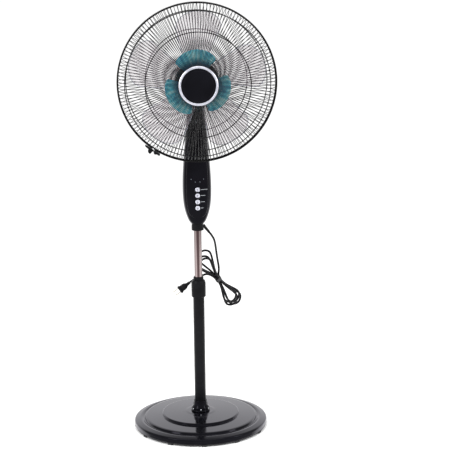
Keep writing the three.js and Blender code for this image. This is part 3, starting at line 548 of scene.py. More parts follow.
# ---------------------------------------------------------------- mains cord, its hank, tie and plug
CORD_D = 6 * MM
HANK_CENTRE = Vector((57.5, 36, 416)) * MM
HANK_AXIS = Vector((-0.57, 0, 0.82)).normalized()
HANK_BACK, HANK_TURN = Vector((0, 1, 0)), math.radians(18)
HANK_ACROSS = HANK_BACK.cross(HANK_AXIS).normalized()
GLAND_START = Vector((16.3, 0, 580)) * MM
GLAND_AIM = Vector((0.6, 0.12, -0.79)).normalized()
GLAND_END = GLAND_START + GLAND_AIM * 26 * MM
LEAD_POINTS = [GLAND_END + GLAND_AIM * 0.3 * MM, GLAND_END + GLAND_AIM * 10 * MM] + [
    Vector(p) * MM for p in ((46, 12, 537), (50, 20, 519), (53, 28, 494), (57, 33, 467), (61, 36, 442))]
TAIL_POINTS = [Vector(p) * MM for p in (
    (22.7, 36, 430.6), (13.5, 38, 426.5), (2, 38, 421), (-11, 36, 416.5), (-22.5, 34.6, 408.4))]


def hank_point(along, across, deep):
    """A point in the hank, in millimetres from its middle: along it, across it and towards the back."""
    flat = HANK_AXIS * along + (HANK_ACROSS * math.cos(HANK_TURN) + HANK_BACK * math.sin(HANK_TURN)) * across
    return HANK_CENTRE + (flat + HANK_BACK * deep) * MM


def hank_lobe(tip, radius, lean, deep_in, deep_out, side):
    """One end loop: out from the waist on one side, round the tip and back on the other."""
    sign = math.copysign(1, tip)
    centre = Vector((tip - sign * radius, lean))
    places = [(Vector((centre.x * 0.38, side * 4.6 + lean * 0.3)), 0.12)]
    for share in (-1.1, -0.66, -0.22, 0.22, 0.66, 1.1):
        turn = share * math.radians(88)
        spot = centre + Vector((sign * radius * math.cos(turn), -side * radius * math.sin(turn)))
        places.append((spot, 0.5 + share * 0.3))
    places.append((Vector((centre.x * 0.38, -side * 4.6 + lean * 0.3)), 0.88))
    return [hank_point(spot.x, spot.y, deep_in + (deep_out - deep_in) * share) for spot, share in places]


def cord_route():
    """Down from the gland to the hank, four times round it, and out to the plug."""
    pitch = 6.3
    lower = [(-93, 20.5, 4), (-87, 20.3, -5), (-82, 20.2, 6), (-75, 20, -1)]
    upper = [(91, 21, 6), (81, 20.2, -5), (74, 20, -4)]
    points = list(LEAD_POINTS)
    for turn, (tip, radius, lean) in enumerate(lower):
        deep = (1.5 - turn) * pitch
        points.append(hank_point(4, 3.2, deep))
        points += hank_lobe(tip, radius, lean, deep, deep, 1)
        points.append(hank_point(2, -3.2, deep))
        if turn < len(upper):
            tip, radius, lean = upper[turn]
            points += hank_lobe(tip, radius, lean, deep, deep - pitch, -1)
    points.append(Vector((36, 31, 429.5)) * MM)
    return points + TAIL_POINTS


def build_cord():
    line = smooth_line(cord_route(), 5)
    for _ in range(9):
        line[1:-1] = [(a + b * 2 + c) / 4 for a, b, c in zip(line, line[1:], line[2:])]
    length = sum((b - a).length for a, b in zip(line, line[1:]))
    cord = shown("mains_cord", wire_curve("mains_cord", [line], CORD_D / 2, sides=4), "mast",
                 ("cord_lead", "cord_hank", "cord_tail"), CORD)
    return cord, line[0], length


def build_gland():
    """The tapered strain relief, with the rings that let it bend."""
    turn = GLAND_AIM.to_track_quat("Z", "Y")
    length = 26
    rings = []
    for step in range(53):
        along = step / 52 * length
        radius = 4.7 - 1.0 * along / length
        if 5 < along < 24 and int(along / 1.9) % 2:
            radius -= 0.55
        angles = [2 * math.pi * i / 32 for i in range(32)]
        rings.append([GLAND_START + turn @ Vector((radius * math.cos(a), radius * math.sin(a), along)) * MM
                      for a in angles])
    return shown("cord_strain_relief", skin("cord_strain_relief", rings, capped=True), "mast",
                 ("cord_gland",), CORD)


def build_tie():
    """A soft strap wrapped twice round the waist of the hank."""
    rings = []
    turns, per_turn = 2, 40
    for i in range(turns * per_turn + 1):
        angle = 2 * math.pi * i / per_turn
        grow = 1.3 * i / (turns * per_turn)
        c, s = math.cos(angle), math.sin(angle)
        across = (7.2 + grow) * math.copysign(abs(c) ** 0.75, c)
        deep = (13.2 + grow) * math.copysign(abs(s) ** 0.75, s)
        out = Vector((c / 7.2, s / 13.2)).normalized()
        section = []
        for along, lift in ((-4, 0), (-4, 0.9), (0, 1.1), (4, 0.9), (4, 0), (0, -0.1)):
            section.append(hank_point(along + 1.2 * math.sin(angle), across + out.x * lift, deep + out.y * lift))
        rings.append(section)
    return shown("cord_strap", skin("cord_strap", rings, capped=True), "mast", ("cord_tie",), MATT)


def plug_frame():
    low = TAIL_POINTS[-1]
    aim = Vector((-0.81, -0.1, -0.57)).normalized()
    turn = Vector((0, 0, 1)).rotation_difference(aim)
    return low + aim * 0.3 * MM, turn


def build_plug():
    """A moulded two-blade plug: a ribbed neck, a fluted grip and a flat face."""
    origin, turn = plug_frame()
    stations = [(0, 3.7, 3.7), (3, 4.3, 4.1), (4, 3.9, 3.8), (6, 4.6, 4.3), (7, 4.1, 3.9), (9, 5.0, 4.5),
                (10, 4.5, 4.1), (12, 5.6, 4.7), (14, 7.2, 5.2), (17, 9.0, 5.9), (22, 9.6, 6.2), (26, 9.2, 6.0),
                (30, 9.9, 6.4), (31.5, 11.2, 7.2), (32.5, 11.5, 7.5), (36.3, 11.5, 7.5), (37, 10.8, 6.8)]
    rings = []
    for along, half_width, half_depth in stations:
        ring = []
        for i in range(48):
            angle = 2 * math.pi * i / 48
            c, s = math.cos(angle), math.sin(angle)
            flute = 1 - (0.05 * (1 + math.cos(10 * angle)) / 2 if 15 < along < 30 else 0)
            x = half_width * flute * math.copysign(abs(c) ** 0.7, c)
            y = half_depth * flute * math.copysign(abs(s) ** 0.7, s)
            ring.append(origin + turn @ Vector((x, y, along)) * MM)
        rings.append(ring)
    body = shown("plug_moulding", skin("plug_moulding", rings, capped=True, crease=50), "mast",
                 ("plug_body",), CORD)
    blades = []
    for letter, side in (("a", -1), ("b", 1)):
        outline = soften([(-3.15, 37.2), (3.15, 37.2), (3.15, 54.2), (-3.15, 54.2)], 1.6)
        rings = [[origin + turn @ Vector((side * 6.35 + x, p[0], p[1])) * MM for p in outline]
                 for x in (-0.75, 0.75)]
        name = f"plug_contact_{letter}"
        blades.append(shown(name, skin(name, rings, capped=True, crease=30), "mast",
                            (f"plug_blade_{letter}",), NICKEL))
    return [body, *blades]


cord, cord_exit, cord_length = build_cord()
cord_pieces = [build_gland(), build_tie(), *build_plug()]


# ---------------------------------------------------------------- base and pole
def build_base():
    r = BASE_R / MM
    rim, crown = r - 30, r - 80
    profile = [
        (4.3, 41), (36, 41), (44, 40.2), (crown - 2, 38.7), (crown, 37.8), (crown + 0.8, 32.6), (crown + 4, 32.4),
        (rim - 6, 29.8), (rim - 1, 28.6), (rim + 0.8, 23.4), (rim + 4, 22.8), (rim + 8, 24.6), (rim + 13, 25),
        (r - 4, 21.6), (r - 1, 19.8), (r, 16.5), (r, 8), (r - 1, 6.6), (r - 2.4, 6.6), (r - 2.8, 15),
        (rim + 13, 22.4), (rim + 1, 19.6), (rim - 3, 25), (crown + 1, 29.4), (crown - 3, 35), (4.3, 38.6),
    ]
    cover = turned("base_dome", profile, segments=192, radius=1.1, crease=60)
    shown("base_dome", cover, "base", ("base_cover",), DOME)

    tray_r = r - 2.7
    work = bmesh.new()
    outline = soften([(p[0] * MM, p[1] * MM) for p in ((15, 3), (tray_r, 3), (tray_r, 5.5), (15, 5.5))], 0.6 * MM)
    add_skin(work, turned_rings(outline, 160, "Z", (0, 0, 0)), around=True)
    for k in range(12):
        spin = Matrix.Rotation(2 * math.pi * k / 12, 3, "Z")
        pad = soften([(-7.5, -tray_r - 2), (7.5, -tray_r - 2), (7, -tray_r + 14), (-7, -tray_r + 14)], 3)
        heights = ((0, 0.97), (0.5, 1.0), (4.6, 1.0))
        rows = []
        for z, share in heights:
            rows.append([spin @ Vector((x * share, -tray_r + 7.4 + (y + tray_r - 7.4) * share, z)) * MM
                         for x, y in pad])
        add_skin(work, rows, capped=True)
    shown("base_floor_tray", finish_mesh("base_floor_tray", work), "base", ("base_tray",), MATT)

    low = bottom("pole_socket") / MM
    socket = turned("pole_foot_socket", [
        (4.3, low), (26.5, low), (26.5, low + 3), (25, low + 4.4), (25, low + 11), (21.5, low + 16),
        (20.6, low + 17.4), (18.9, low + 31), (16.4, low + 31), (16.4, low + 8), (4.3, low + 8),
    ], radius=1.2, segments=96)
    shown("pole_foot_socket", socket, "base", ("pole_socket",), GLOSS)
    build_socket_screws(low)


def build_socket_screws(low):
    """Six small domed screws round the socket's flange."""
    work = bmesh.new()
    for k in range(6):
        angle = math.radians(-90 + 60 * k)
        out = Vector((math.cos(angle), math.sin(angle), 0.15)).normalized()
        turn = out.to_track_quat("Z", "Y")
        origin = Vector((25 * math.cos(angle), 25 * math.sin(angle), low + 7.6)) * MM
        dome = [(0.0, 1.3), (1.4, 1.1), (2.4, 0.2), (2.4, -0.6), (0.0, -0.6)]
        outline = soften([(a * MM, b * MM) for a, b in dome], 0.3 * MM, closed=False)
        rings = turned_rings([(p[0], p[1]) for p in outline], 20, "Z", (0, 0, 0))
        add_skin(work, [[origin + turn @ p for p in ring] for ring in rings], ring_closed=False, around=True)
    shown("socket_screws", finish_mesh("socket_screws", work), "base", (), ZINC)


def build_pole():
    low, high = bottom("outer_pole") / MM, top("outer_pole") / MM
    tube = turned("outer_tube", [(14.6, low), (16, low), (16, high), (14.6, high)], radius=0.5)
    shown("outer_tube", tube, "base", ("outer_pole",), COATED)

    low, high = bottom("collet") / MM, top("collet") / MM
    collet = turned("pole_collet", [(11.4, low), (14.2, low), (14.2, high - 2), (13.4, high), (11.4, high)],
                    radius=0.6)
    piece = shown("pole_collet", collet, "base", ("collet",), SATIN)
    slits = [skin("slit", [[spin @ Vector((x, y, z)) * MM for x, y in ((-0.7, -30), (0.7, -30), (0.7, 30), (-0.7, 30))]
                           for z in (high - 20, high + 2)], capped=True)
             for spin in (Matrix.Rotation(math.radians(a), 3, "Z") for a in (45, 135))]
    drill(piece, slits)

    low, high = bottom("lock_collar") / MM, top("lock_collar") / MM
    rings = []
    segments, flutes = 216, 36
    profile = soften([(16.4, low), (18.8, low), (20.2, low + 1.6), (20.2, high - 8), (19.2, high - 4),
                      (17.2, high), (14.6, high), (14.6, high - 20), (16.4, high - 20)], 0.9)
    for i in range(segments):
        angle = 2 * math.pi * i / segments
        groove = 0.45 * max(0.0, math.cos(flutes * angle)) ** 2
        ring = []
        for radius, z in profile:
            depth = groove if radius > 19.7 and low + 3 < z < high - 9 else 0
            ring.append(Vector(((radius - depth) * math.cos(angle), (radius - depth) * math.sin(angle), z)) * MM)
        rings.append(ring)
    shown("height_collar", skin("height_collar", rings, around=True), "height_lock", ("lock_collar",),
          SATIN)

    low, high = bottom("inner_pole") / MM, top("inner_pole") / MM
    tube = turned("inner_tube", [(9.8, low), (11, low), (11, high), (9.8, high)], radius=0.4, segments=128)
    shown("inner_tube", tube, "mast", ("inner_pole",), CHROME)


build_base()
build_pole()

# ---------------------------------------------------------------- control column
# height over the column's foot, half width and half depth, in millimetres
STATIONS = (
    (0, 17.6, 17.6), (5, 22, 20.5), (15, 27, 23.5), (33, 33, 27), (52, 37, 29.5), (76, 39.2, 31),
    (115, 39.5, 31.5), (164, 37, 30), (215, 32.5, 28.3), (273, 28, 27.6), (318, 23.4, 25.5),
)
SQUARENESS = 0.8
PANEL_SHARE = 0.76
PANEL_LOW, PANEL_HIGH = 604, 898
BUTTONS = [middle(f"button_{k}")[2] for k in range(1, 5)]
LAMPS = [(middle(f"led_{k}")[0], middle(f"led_{k}")[2]) for k in range(1, 5)]


def column_section(z):
    """Half width and half depth of the column at a height in millimetres, with no kinks between stations."""
    foot = COLUMN_LOW / MM
    height = min(max(z - foot, 0), STATIONS[-1][0])
    k = next(i for i in range(1, len(STATIONS)) if STATIONS[i][0] >= height)

    def slope(i, column):
        a, b = STATIONS[max(i - 1, 0)], STATIONS[min(i + 1, len(STATIONS) - 1)]
        return (b[column] - a[column]) / (b[0] - a[0])

    (h0, *low), (h1, *high) = STATIONS[k - 1], STATIONS[k]
    t, span = (height - h0) / (h1 - h0), h1 - h0
    values = []
    for column, (start, end) in enumerate(zip(low, high), 1):
        values.append(start * (2 * t ** 3 - 3 * t * t + 1) + end * (3 * t * t - 2 * t ** 3)
                      + span * slope(k - 1, column) * (t ** 3 - 2 * t * t + t)
                      + span * slope(k, column) * (t ** 3 - t * t))
    return values


def front_depth(x, z):
    """How far the column's front stands from its axis at a place, in millimetres."""
    half_width, half_depth = column_section(z)
    c = min(abs(x) / half_width, 1) ** (1 / SQUARENESS)
    return half_depth * math.sqrt(max(1 - c * c, 0)) ** SQUARENESS


def column_rings(start, end, inset=0.0):
    """Half sections of the column between two angles, from its foot to its top."""
    foot, head = COLUMN_LOW / MM, COLUMN_HIGH / MM
    heights = [foot + (head - foot) * (k / 70) for k in range(71)]
    rings = []
    for z in heights:
        half_width, half_depth = column_section(z)
        shrink = inset + 1.6 * max(0.0, 1 - (head - z) / 3) ** 2
        ring = []
        for k in range(49):
            angle = start + (end - start) * k / 48
            c, s = math.cos(angle), math.sin(angle)
            x = (half_width - shrink) * math.copysign(abs(c) ** SQUARENESS, c)
            y = (half_depth - shrink) * math.copysign(abs(s) ** SQUARENESS, s)
            ring.append(Vector((x, y + math.copysign(0.15, s + 1e-9 if start >= 0 else s - 1e-9), z)) * MM)
        rings.append(ring)
    return rings


def column_half(name, node, start, end, material):
    outer, inner = column_rings(start, end), column_rings(start, end, 2.2)
    rings = [a + list(reversed(b)) for a, b in zip(outer, inner)]
    return shown(name, skin(name, rings, capped=True, crease=50), "mast", (node,), material)


def button_drills(radius):
    return [rod_mesh("drill", (0, -60 * MM, z), (0, -14 * MM, z), radius * MM) for z in BUTTONS]


def build_panel():
    """The glossy face panel: raised a little, with rounded edges and a U-shaped foot."""
    rows, columns = 90, 40
    foot_radius = 20
    outer, inner = [], []
    for j in range(rows + 1):
        z = PANEL_LOW + (PANEL_HIGH - PANEL_LOW) * (j / rows) ** 1.25
        rise = min((z - PANEL_LOW) / foot_radius, 1)
        share = PANEL_SHARE * max(math.sqrt(max(1 - (1 - rise) ** 2, 0)), 0.12)
        half_width = column_section(z)[0] * share
        front, back = [], []
        for i in range(columns + 1):
            t = math.sin((i / columns - 0.5) * math.pi)
            x = half_width * t
            end_soft = min(1, rise * 3, (PANEL_HIGH - z) / 3 + 0.3)
            lift = 0.5 + 1.4 * max(1 - abs(t) ** 14, 0) ** 0.5 * max(end_soft, 0.1)
            front.append(Vector((x, -front_depth(x, z) - lift, z)) * MM)
            back.append(Vector((x, -front_depth(x, z) - 0.25, z)) * MM)
        outer.append(front)
        inner.append(back)
    rings = [a + list(reversed(b)) for a, b in zip(outer, inner)]
    panel = shown("face_panel", skin("face_panel", rings, capped=True, crease=50), "mast", ("fascia",),
                  GLOSS)
    drill(panel, button_drills(6.9))


def build_buttons():
    for k, z in enumerate(BUTTONS, 1):
        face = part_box(f"button_{k}")[0][1] / MM
        dish = [(0, face + 1.5), (2.6, face + 1.25), (4.6, face + 0.6), (5.3, face), (6.2, face + 0.2),
                (6.5, face + 0.8), (6.5, face + 5.2), (2.4, face + 5.2), (2.4, face + 10), (0, face + 10)]
        name = f"push_button_{k}"
        body = ("power_button", "speed_button", "swing_button", "timer_button")[k - 1]
        mesh = turned(name, dish, "Y", (0, 0, z), 64, 0.5, closed=False, crease=50)
        shown(name, mesh, body, (f"button_{k}",), SILVER)
        pip = turned(f"button_pip_{k}", [(0, face + 1.3), (1.0, face + 1.25), (1.1, face + 1.6), (0, face + 1.7)],
                     "Y", (0, 0, z), 24, 0.1, closed=False)
        shown(f"button_pip_{k}", pip, body, (), GLOSS)


def build_lamps():
    for k, (x, z) in enumerate(LAMPS, 1):
        face = -front_depth(x / MM, z / MM) - 2.1
        dome = [(0, face - 0.25), (1.1, face - 0.05), (1.6, face + 0.5), (1.6, face + 3), (0, face + 3)]
        mesh = turned(f"lamp_lens_{k}", dome, "Y", (x, 0, z), 24, 0.3, closed=False)
        shown(f"lamp_lens_{k}", mesh, "mast", (f"led_{k}",), LENS)


def build_print():
    """Plain printed bars beside the buttons."""
    work = bmesh.new()
    for z, length in zip(BUTTONS, (19, 12.7, 11.4, 7.8)):
        start, height = 8.4, 0.55
        rows = []
        for x in (start + length * i / 12 for i in range(13)):
            level = z / MM
            y = [-front_depth(x, level + dz) - 1.93 for dz in (-height, height)]
            rows.append([Vector((x, y[0], level - height)) * MM, Vector((x, y[1], level + height)) * MM,
                         Vector((x, y[1] + 0.2, level + height)) * MM, Vector((x, y[0] + 0.2, level - height)) * MM])
        add_skin(work, rows, capped=True)
    shown("printed_bars", finish_mesh("printed_bars", work, 30), "mast", (), INK)


def build_mark():
    """A small plain triangle printed near the top of the panel."""
    rows = []
    for lift in (1.93, 1.7):
        corners = ((-1.2, 875.2), (4.6, 872.4), (-0.4, 869.6))
        rows.append([Vector((x, -front_depth(x, z) - lift, z)) * MM for x, z in corners])
    shown("printed_mark", skin("printed_mark", rows, capped=True, crease=20), "mast", (), INK)


def build_neck_collar():
    low, high = bottom("neck_collar") / MM, top("neck_collar") / MM
    foot = COLUMN_LOW / MM
    profile = [(11.3, low), (16, low), (16.9, low + 1), (16.9, low + 13), (16.4, low + 13.6), (16.4, foot - 0.3),
               (14.5, foot - 0.3), (14.5, high), (11.3, high)]
    piece = shown("column_neck_ring", turned("column_neck_ring", profile, radius=0.6), "mast",
                  ("neck_collar",), SATIN)
    drill(piece, [rod_mesh("drill", GLAND_START - GLAND_AIM * 0.6 * MM, GLAND_END, 4.95 * MM)])


def build_column():
    front = column_half("column_front", "front_shell", -math.pi, 0, GLOSS)
    drill(front, button_drills(7.0))
    column_half("column_rear", "rear_shell", 0, math.pi, SATIN)
    build_panel()
    build_buttons()
    build_lamps()
    build_print()
    build_mark()
    build_neck_collar()


build_column()


# ---------------------------------------------------------------- swivel yoke and tilt hinge
def eye_outline(radius, height, steps=24):
    """A lug seen from the side: square shoulders below or above, round about the hinge."""
    arc = [(radius * math.cos(a), radius * math.sin(a))
           for a in (math.pi * k / steps for k in range(steps + 1))]
    sign = math.copysign(1, height)
    arc = [(y, -sign * z) for y, z in arc]
    return arc + [(-radius, height), (radius, height)]


def lug(work, x_low, x_high, radius, height):
    """A plate across X with a rounded end about the tilt axis; height is where its square end is."""
    outline = eye_outline(radius, height)
    rings = []
    for x, shrink in ((x_low, 0.6), (x_low + 0.6, 0), (x_high - 0.6, 0), (x_high, 0.6)):
        share = 1 - shrink / radius
        rings.append([Vector((x, y * share, z * share)) * MM + Vector((0, 0, TILT_Z)) for y, z in outline])
    add_skin(work, rings, capped=True)


def build_yoke():
    low = COLUMN_HIGH / MM + 0.3
    high = low + 8
    spigot = bottom("yoke") / MM
    profile = [(0, spigot), (8, spigot), (8, low), (24, low), (25, low + 1.2), (25, high - 2.6), (22, high), (0, high)]
    work = bmesh.new()
    outline = soften([(r * MM, a * MM) for r, a in profile], 1 * MM, closed=False)
    add_skin(work, turned_rings(outline, 96, "Z", (0, 0, 0)), ring_closed=False, around=True)
    lug(work, -9.6, 9.6, 9.5, high - 1 - TILT_Z / MM)
    shown("swivel_yoke", finish_mesh("swivel_yoke", work), "swivel", ("yoke",), SATIN)

    reach = 15.2
    head = [(0, -reach - 5), (6, -reach - 5), (7, -reach - 4), (7, -reach), (4, -reach), (4, reach + 9), (0, reach + 9)]
    outline = soften([(r * MM, a * MM) for r, a in head], 0.6 * MM, closed=False)
    rings = [[Vector((p.y, p.x, p.z + TILT_Z)) for p in ring] for ring in turned_rings(outline, 48, "Y", (0, 0, 0))]
    shown("tilt_hinge_bolt", skin("tilt_hinge_bolt", rings, ring_closed=False, around=True), "swivel",
          ("tilt_bolt",), ZINC)
    nut = soften([(4.1, reach), (7.6, reach), (7.6, reach + 5), (4.1, reach + 5)], 0.4)
    rings = [[Vector((p.y * MM, p.x * MM, p.z * MM + TILT_Z)) for p in ring]
             for ring in turned_rings(nut, 6, "Y", (0, 0, 0))]
    shown("tilt_hinge_nut", skin("tilt_hinge_nut", rings, around=True, crease=20), "swivel",
          ("tilt_nut",), ZINC)


# ---------------------------------------------------------------- motor housing
def build_housing():
    """A round shell with cooling rings at its tail and the two hinge lugs under it."""
    front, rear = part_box("motor_housing")[0][1] / MM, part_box("motor_housing")[1][1] / MM
    outer = [(54, front), (54, rear - 52), (53, rear - 40), (48, rear - 26), (41, rear - 16), (32, rear - 7.5),
             (20, rear - 2), (10, rear)]
    inner = [(10, rear - 2.5), (20, rear - 4.5), (31, rear - 10), (45.5, rear - 27), (51.5, rear - 50), (51.5, front)]
    work = bmesh.new()
    outline = soften([(r * MM, a * MM) for r, a in outer + inner], 3 * MM)
    add_skin(work, turned_rings(outline, 128, "Y", (0, 0, FAN_Z)), around=True)
    shoulder = (FAN_Z - 0.0525) / MM - TILT_Z / MM
    for x_low in (-14.9, 9.9):
        lug(work, x_low, x_low + 5, 9.5, shoulder)
    for radius, y in ((46.2, rear - 22), (39.2, rear - 13.2), (29.5, rear - 5)):
        ring = soften([((radius - 2) * MM, (y - 2) * MM), ((radius + 1.2) * MM, (y - 2) * MM),
                       ((radius + 1.2) * MM, (y + 1.4) * MM), ((radius - 2) * MM, (y + 1.4) * MM)], 0.8 * MM)
        add_skin(work, turned_rings(ring, 128, "Y", (0, 0, FAN_Z)), around=True)
    shown("motor_shell", finish_mesh("motor_shell", work), "head", ("motor_housing",), SATIN)


# ---------------------------------------------------------------- guards
FRONT_WIRES, REAR_WIRES = 150, 131
WIRE_R, RING_R = 0.88 * MM, 1.3 * MM
FRONT_RIB = [(207.5, -113.2), (205, -124), (200, -137), (191, -150), (170, -161.5), (138, -172), (92, -179.5),
             (50, -182.4)]
REAR_RIB = [(207.5, -104.8), (205, -96), (198, -87), (188, -80), (165, -68), (136.5, -58), (97, -48), (52, -43.6)]


def spokes(rib, count, phase):
    line = smooth_line([(r * MM, y * MM, 0) for r, y in rib], 3)
    lines = []
    for k in range(count):
        angle = 2 * math.pi * (k + phase) / count
        c, s = math.cos(angle), math.sin(angle)
        lines.append([Vector((p.x * c, p.y, FAN_Z + p.x * s)) for p in line])
    return lines


def circle(radius, y, steps=180):
    return [Vector((radius * MM * math.cos(a), y * MM, FAN_Z + radius * MM * math.sin(a)))
            for a in (2 * math.pi * k / steps for k in range(steps))]


def guard_part(name, data, replaced=()):
    return shown(name, data, "head", replaced, ENAMEL)


def build_guards():
    guard_part("front_spokes", wire_curve("front_spokes", spokes(FRONT_RIB, FRONT_WIRES, 0.25), WIRE_R, sides=1),
               ("front_guard",))
    guard_part("rear_spokes", wire_curve("rear_spokes", spokes(REAR_RIB, REAR_WIRES, 0.6), WIRE_R, sides=1),
               ("rear_guard",))
    rings = [circle(191, -151.8), circle(138, -173.8), circle(188, -78.2), circle(136.5, -56.2)]
    guard_part("guard_rings", wire_curve("guard_rings", rings, RING_R, cyclic=True))
    rims = [circle(208.6, -113.2), circle(208.6, -104.8)]
    guard_part("guard_rims", wire_curve("guard_rims", rims, 1.4 * MM, cyclic=True))
    front = turned("front_centre_plate", [(8, -184), (52, -184), (53, -181.6), (50, -180.6), (8, -181)], "Y",
                   (0, 0, FAN_Z), 128, 0.8)
    guard_part("front_centre_plate", front)
    rear = turned("rear_centre_plate", [(18.3, -44.5), (51, -44.5), (54, -43.4), (54, -41.5), (18.3, -41.5)], "Y",
                  (0, 0, FAN_Z), 128, 0.8)
    guard_part("rear_centre_plate", rear)
    build_guard_nut()
    build_hoop()
    build_badge()


def build_guard_nut():
    """A ring nut with eight grip lobes."""
    front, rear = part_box("guard_nut")[0][1] / MM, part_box("guard_nut")[1][1] / MM
    rings = []
    profile = soften([(18.3, front), (29, front), (30, front + 1), (30, rear), (18.3, rear)], 0.8)
    for i in range(160):
        angle = 2 * math.pi * i / 160
        wave = 1.8 * max(0.0, math.cos(8 * angle)) ** 2
        ring = [Vector(((r - (wave if r > 25 else 0)) * MM * math.cos(angle), y * MM,
                        FAN_Z + (r - (wave if r > 25 else 0)) * MM * math.sin(angle))) for r, y in profile]
        rings.append(ring)
    shown("rear_ring_nut", skin("rear_ring_nut", rings, around=True), "head", ("guard_nut",), MATT)


def build_hoop():
    """The channel that clamps both rims, open for a few millimetres under the clip."""
    low, high, r = HOOP_FRONT / MM, HOOP_REAR / MM, GUARD_R / MM
    section = soften([(r, low), (r, high), (r - 2.6, high), (r - 2.6, high - 1.2), (r - 1.4, high - 1.2),
                      (r - 1.4, low + 1.2), (r - 2.6, low + 1.2), (r - 2.6, low)], 0.5)
    half_gap = 3 / r
    rings = []
    steps = 288
    for k in range(steps + 1):
        angle = CLIP_ANGLE + half_gap + (2 * math.pi - 2 * half_gap) * k / steps
        rings.append([Vector((p.x * MM * math.cos(angle), p.y * MM, FAN_Z + p.x * MM * math.sin(angle)))
                      for p in section])
    shown("hoop_band", skin("hoop_band", rings, capped=True), "head", ("guard_hoop",), ENAMEL)


def build_badge():
    """The silver ring and the plain black disc in the middle of the front guard."""
    front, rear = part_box("badge_ring")[0][1] / MM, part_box("badge_ring")[1][1] / MM
    ring = turned("badge_bezel", [(45.5, rear), (51.7, rear), (51.7, front + 1.4), (49.5, front), (46.6, front),
                                  (45.5, front + 0.9)], "Y", (0, 0, FAN_Z), 160, 0.7)
    shown("badge_bezel", ring, "head", ("badge_ring",), SILVER)
    disc = turned("badge_dome", [(0, front + 0.5), (38.4, front + 0.8), (39.2, front + 1.7), (40.4, front + 1.7),
                                 (41.2, front + 0.9), (44.6, front + 1.3), (45.2, front + 1.8), (45.2, rear), (0, rear)],
                  "Y", (0, 0, FAN_Z), 160, 0.6, closed=False)
    shown("badge_dome", disc, "head", ("badge_disc",), GLOSS)


# ---------------------------------------------------------------- guard clip
CLIP_ANGLE = math.radians(-124.5)


def clip_place(out, y, along):
    """A point from the clip's own frame: out from the hoop's middle, back and along the hoop."""
    c, s = math.cos(CLIP_ANGLE), math.sin(CLIP_ANGLE)
    return Vector((out * c - along * s, RIM_Y / MM + y, FAN_Z / MM + out * s + along * c)) * MM


def clip_body(name, outline, width, replaced, body):
    """An outline in the plane of the hoop, made as wide as the clip, with softened sides."""
    rings = []
    centre = sum((Vector(p) for p in outline), Vector((0, 0))) / len(outline)
    for y, share in ((-0.5, 0.9), (-0.44, 1), (0.44, 1), (0.5, 0.9)):
        rings.append([clip_place(*(centre.x + (p[0] - centre.x) * share, y * width,
                                   centre.y + (p[1] - centre.y) * share)) for p in outline])
    return shown(name, skin(name, rings, capped=True), body, replaced, SATIN)


def build_clip():
    """Along runs to the right of the clip's middle, seen from the front."""
    r = GUARD_R / MM + 1.2
    base_outline = soften([(r, 6), (r + 5, 5.6), (r + 8, 8), (r + 8, 12), (r + 5, 15), (r + 5, 22), (r + 3.6, 24),
                           (r, 24)], 1.8)
    clip_body("clip_cradle", base_outline, 17, ("clip_base",), "head")
    lever_outline = soften([(r + 0.2, 4.4), (r + 3.6, 4.4), (r + 4.4, 1.5), (r + 12, 1), (r + 14, -1.4), (r + 13, -6.5),
                            (r + 10, -9), (r + 5, -10), (r + 3.4, -23), (r + 0.2, -23)], 2.2)
    clip_body("clip_handle", lever_outline, 15, ("clip_lever",), "clip")


# ---------------------------------------------------------------- blades
def between(sections, radius):
    """Centre and half angle in degrees and pitch at a radius, eased between (radius, ...) sections."""
    low, high = next((a, b) for a, b in zip(sections, sections[1:]) if radius <= b[0] + 1e-9)
    t = (radius - low[0]) / (high[0] - low[0])
    return [a + (b - a) * t for a, b in zip(low[1:], high[1:])]


def blade_outline(sections, radius, corner):
    """Centre and half angle in radians and the pitch, the half angle drawn in round the outer corners."""
    centre, half, pitch = between(sections, radius)
    over = max(0.0, (radius - (sections[-1][0] - corner)) / corner)
    return math.radians(centre), math.radians(half) * max(1 - over ** 2.6, 0.012) ** 0.5, pitch


def blade_rings(sections, middle_y, thickness, ripple, corner, turn):
    """Thin sections from root to tip of a blade, each tipped by its pitch, with rounded edges."""
    rows, columns = 44, 60
    rings = []
    for j in range(rows + 1):
        radius = sections[0][0] + (sections[-1][0] - sections[0][0]) * (1 - (1 - j / rows) ** 1.5)
        centre, half, pitch = blade_outline(sections, radius, corner)
        full = math.radians(between(sections, radius)[1])
        front, back = [], []
        for i in range(columns + 1):
            s = math.sin((i / columns - 0.5) * math.pi)
            angle = turn + centre + half * s
            edge = max(1 - abs(s) ** 16, 0.05) ** 0.5
            y = middle_y + pitch * s * half / full + ripple * math.cos(36 * angle) * min(1, 4 * j / rows)
            for row, side in ((front, -1), (back, 1)):
                row.append(Vector((radius * math.sin(angle), y + side * thickness / 2 * edge,
                                   radius * math.cos(angle))) * MM + Vector((0, 0, FAN_Z)))
        rings.append(front + list(reversed(back)))
    return rings


def blade_edges(sections, middle_y, corner, turn):
    """The line round a blade's outline, from its root, over its tip and back."""
    reach = sections[-1][0] - sections[0][0]
    radii = [sections[0][0] + 2 + (reach - 2.6) * (1 - (1 - k / 40) ** 1.5) for k in range(41)]
    line = []
    for side, order in ((-1, radii), (1, list(reversed(radii)))):
        for radius in order:
            centre, half, pitch = blade_outline(sections, radius, corner)
            full = math.radians(between(sections, radius)[1])
            angle = turn + centre + side * half * 0.985
            line.append(Vector((radius * math.sin(angle), middle_y + side * pitch * half / full,
                                radius * math.cos(angle))) * MM + Vector((0, 0, FAN_Z)))
    return line


# radius, centre and half angle in degrees, and pitch
MAIN_SECTIONS = [(57, -3, 27, 20), (96.7, 0, 25.5, 19), (135, 1.5, 23.5, 17), (168, 3, 23, 14), (187, 4, 23, 12)]
TEAL_SECTIONS = [(19, 0, 38, 9), (44.5, 0, 41, 10), (72.5, 0, 43, 10), (89.6, 0, 44, 9)]


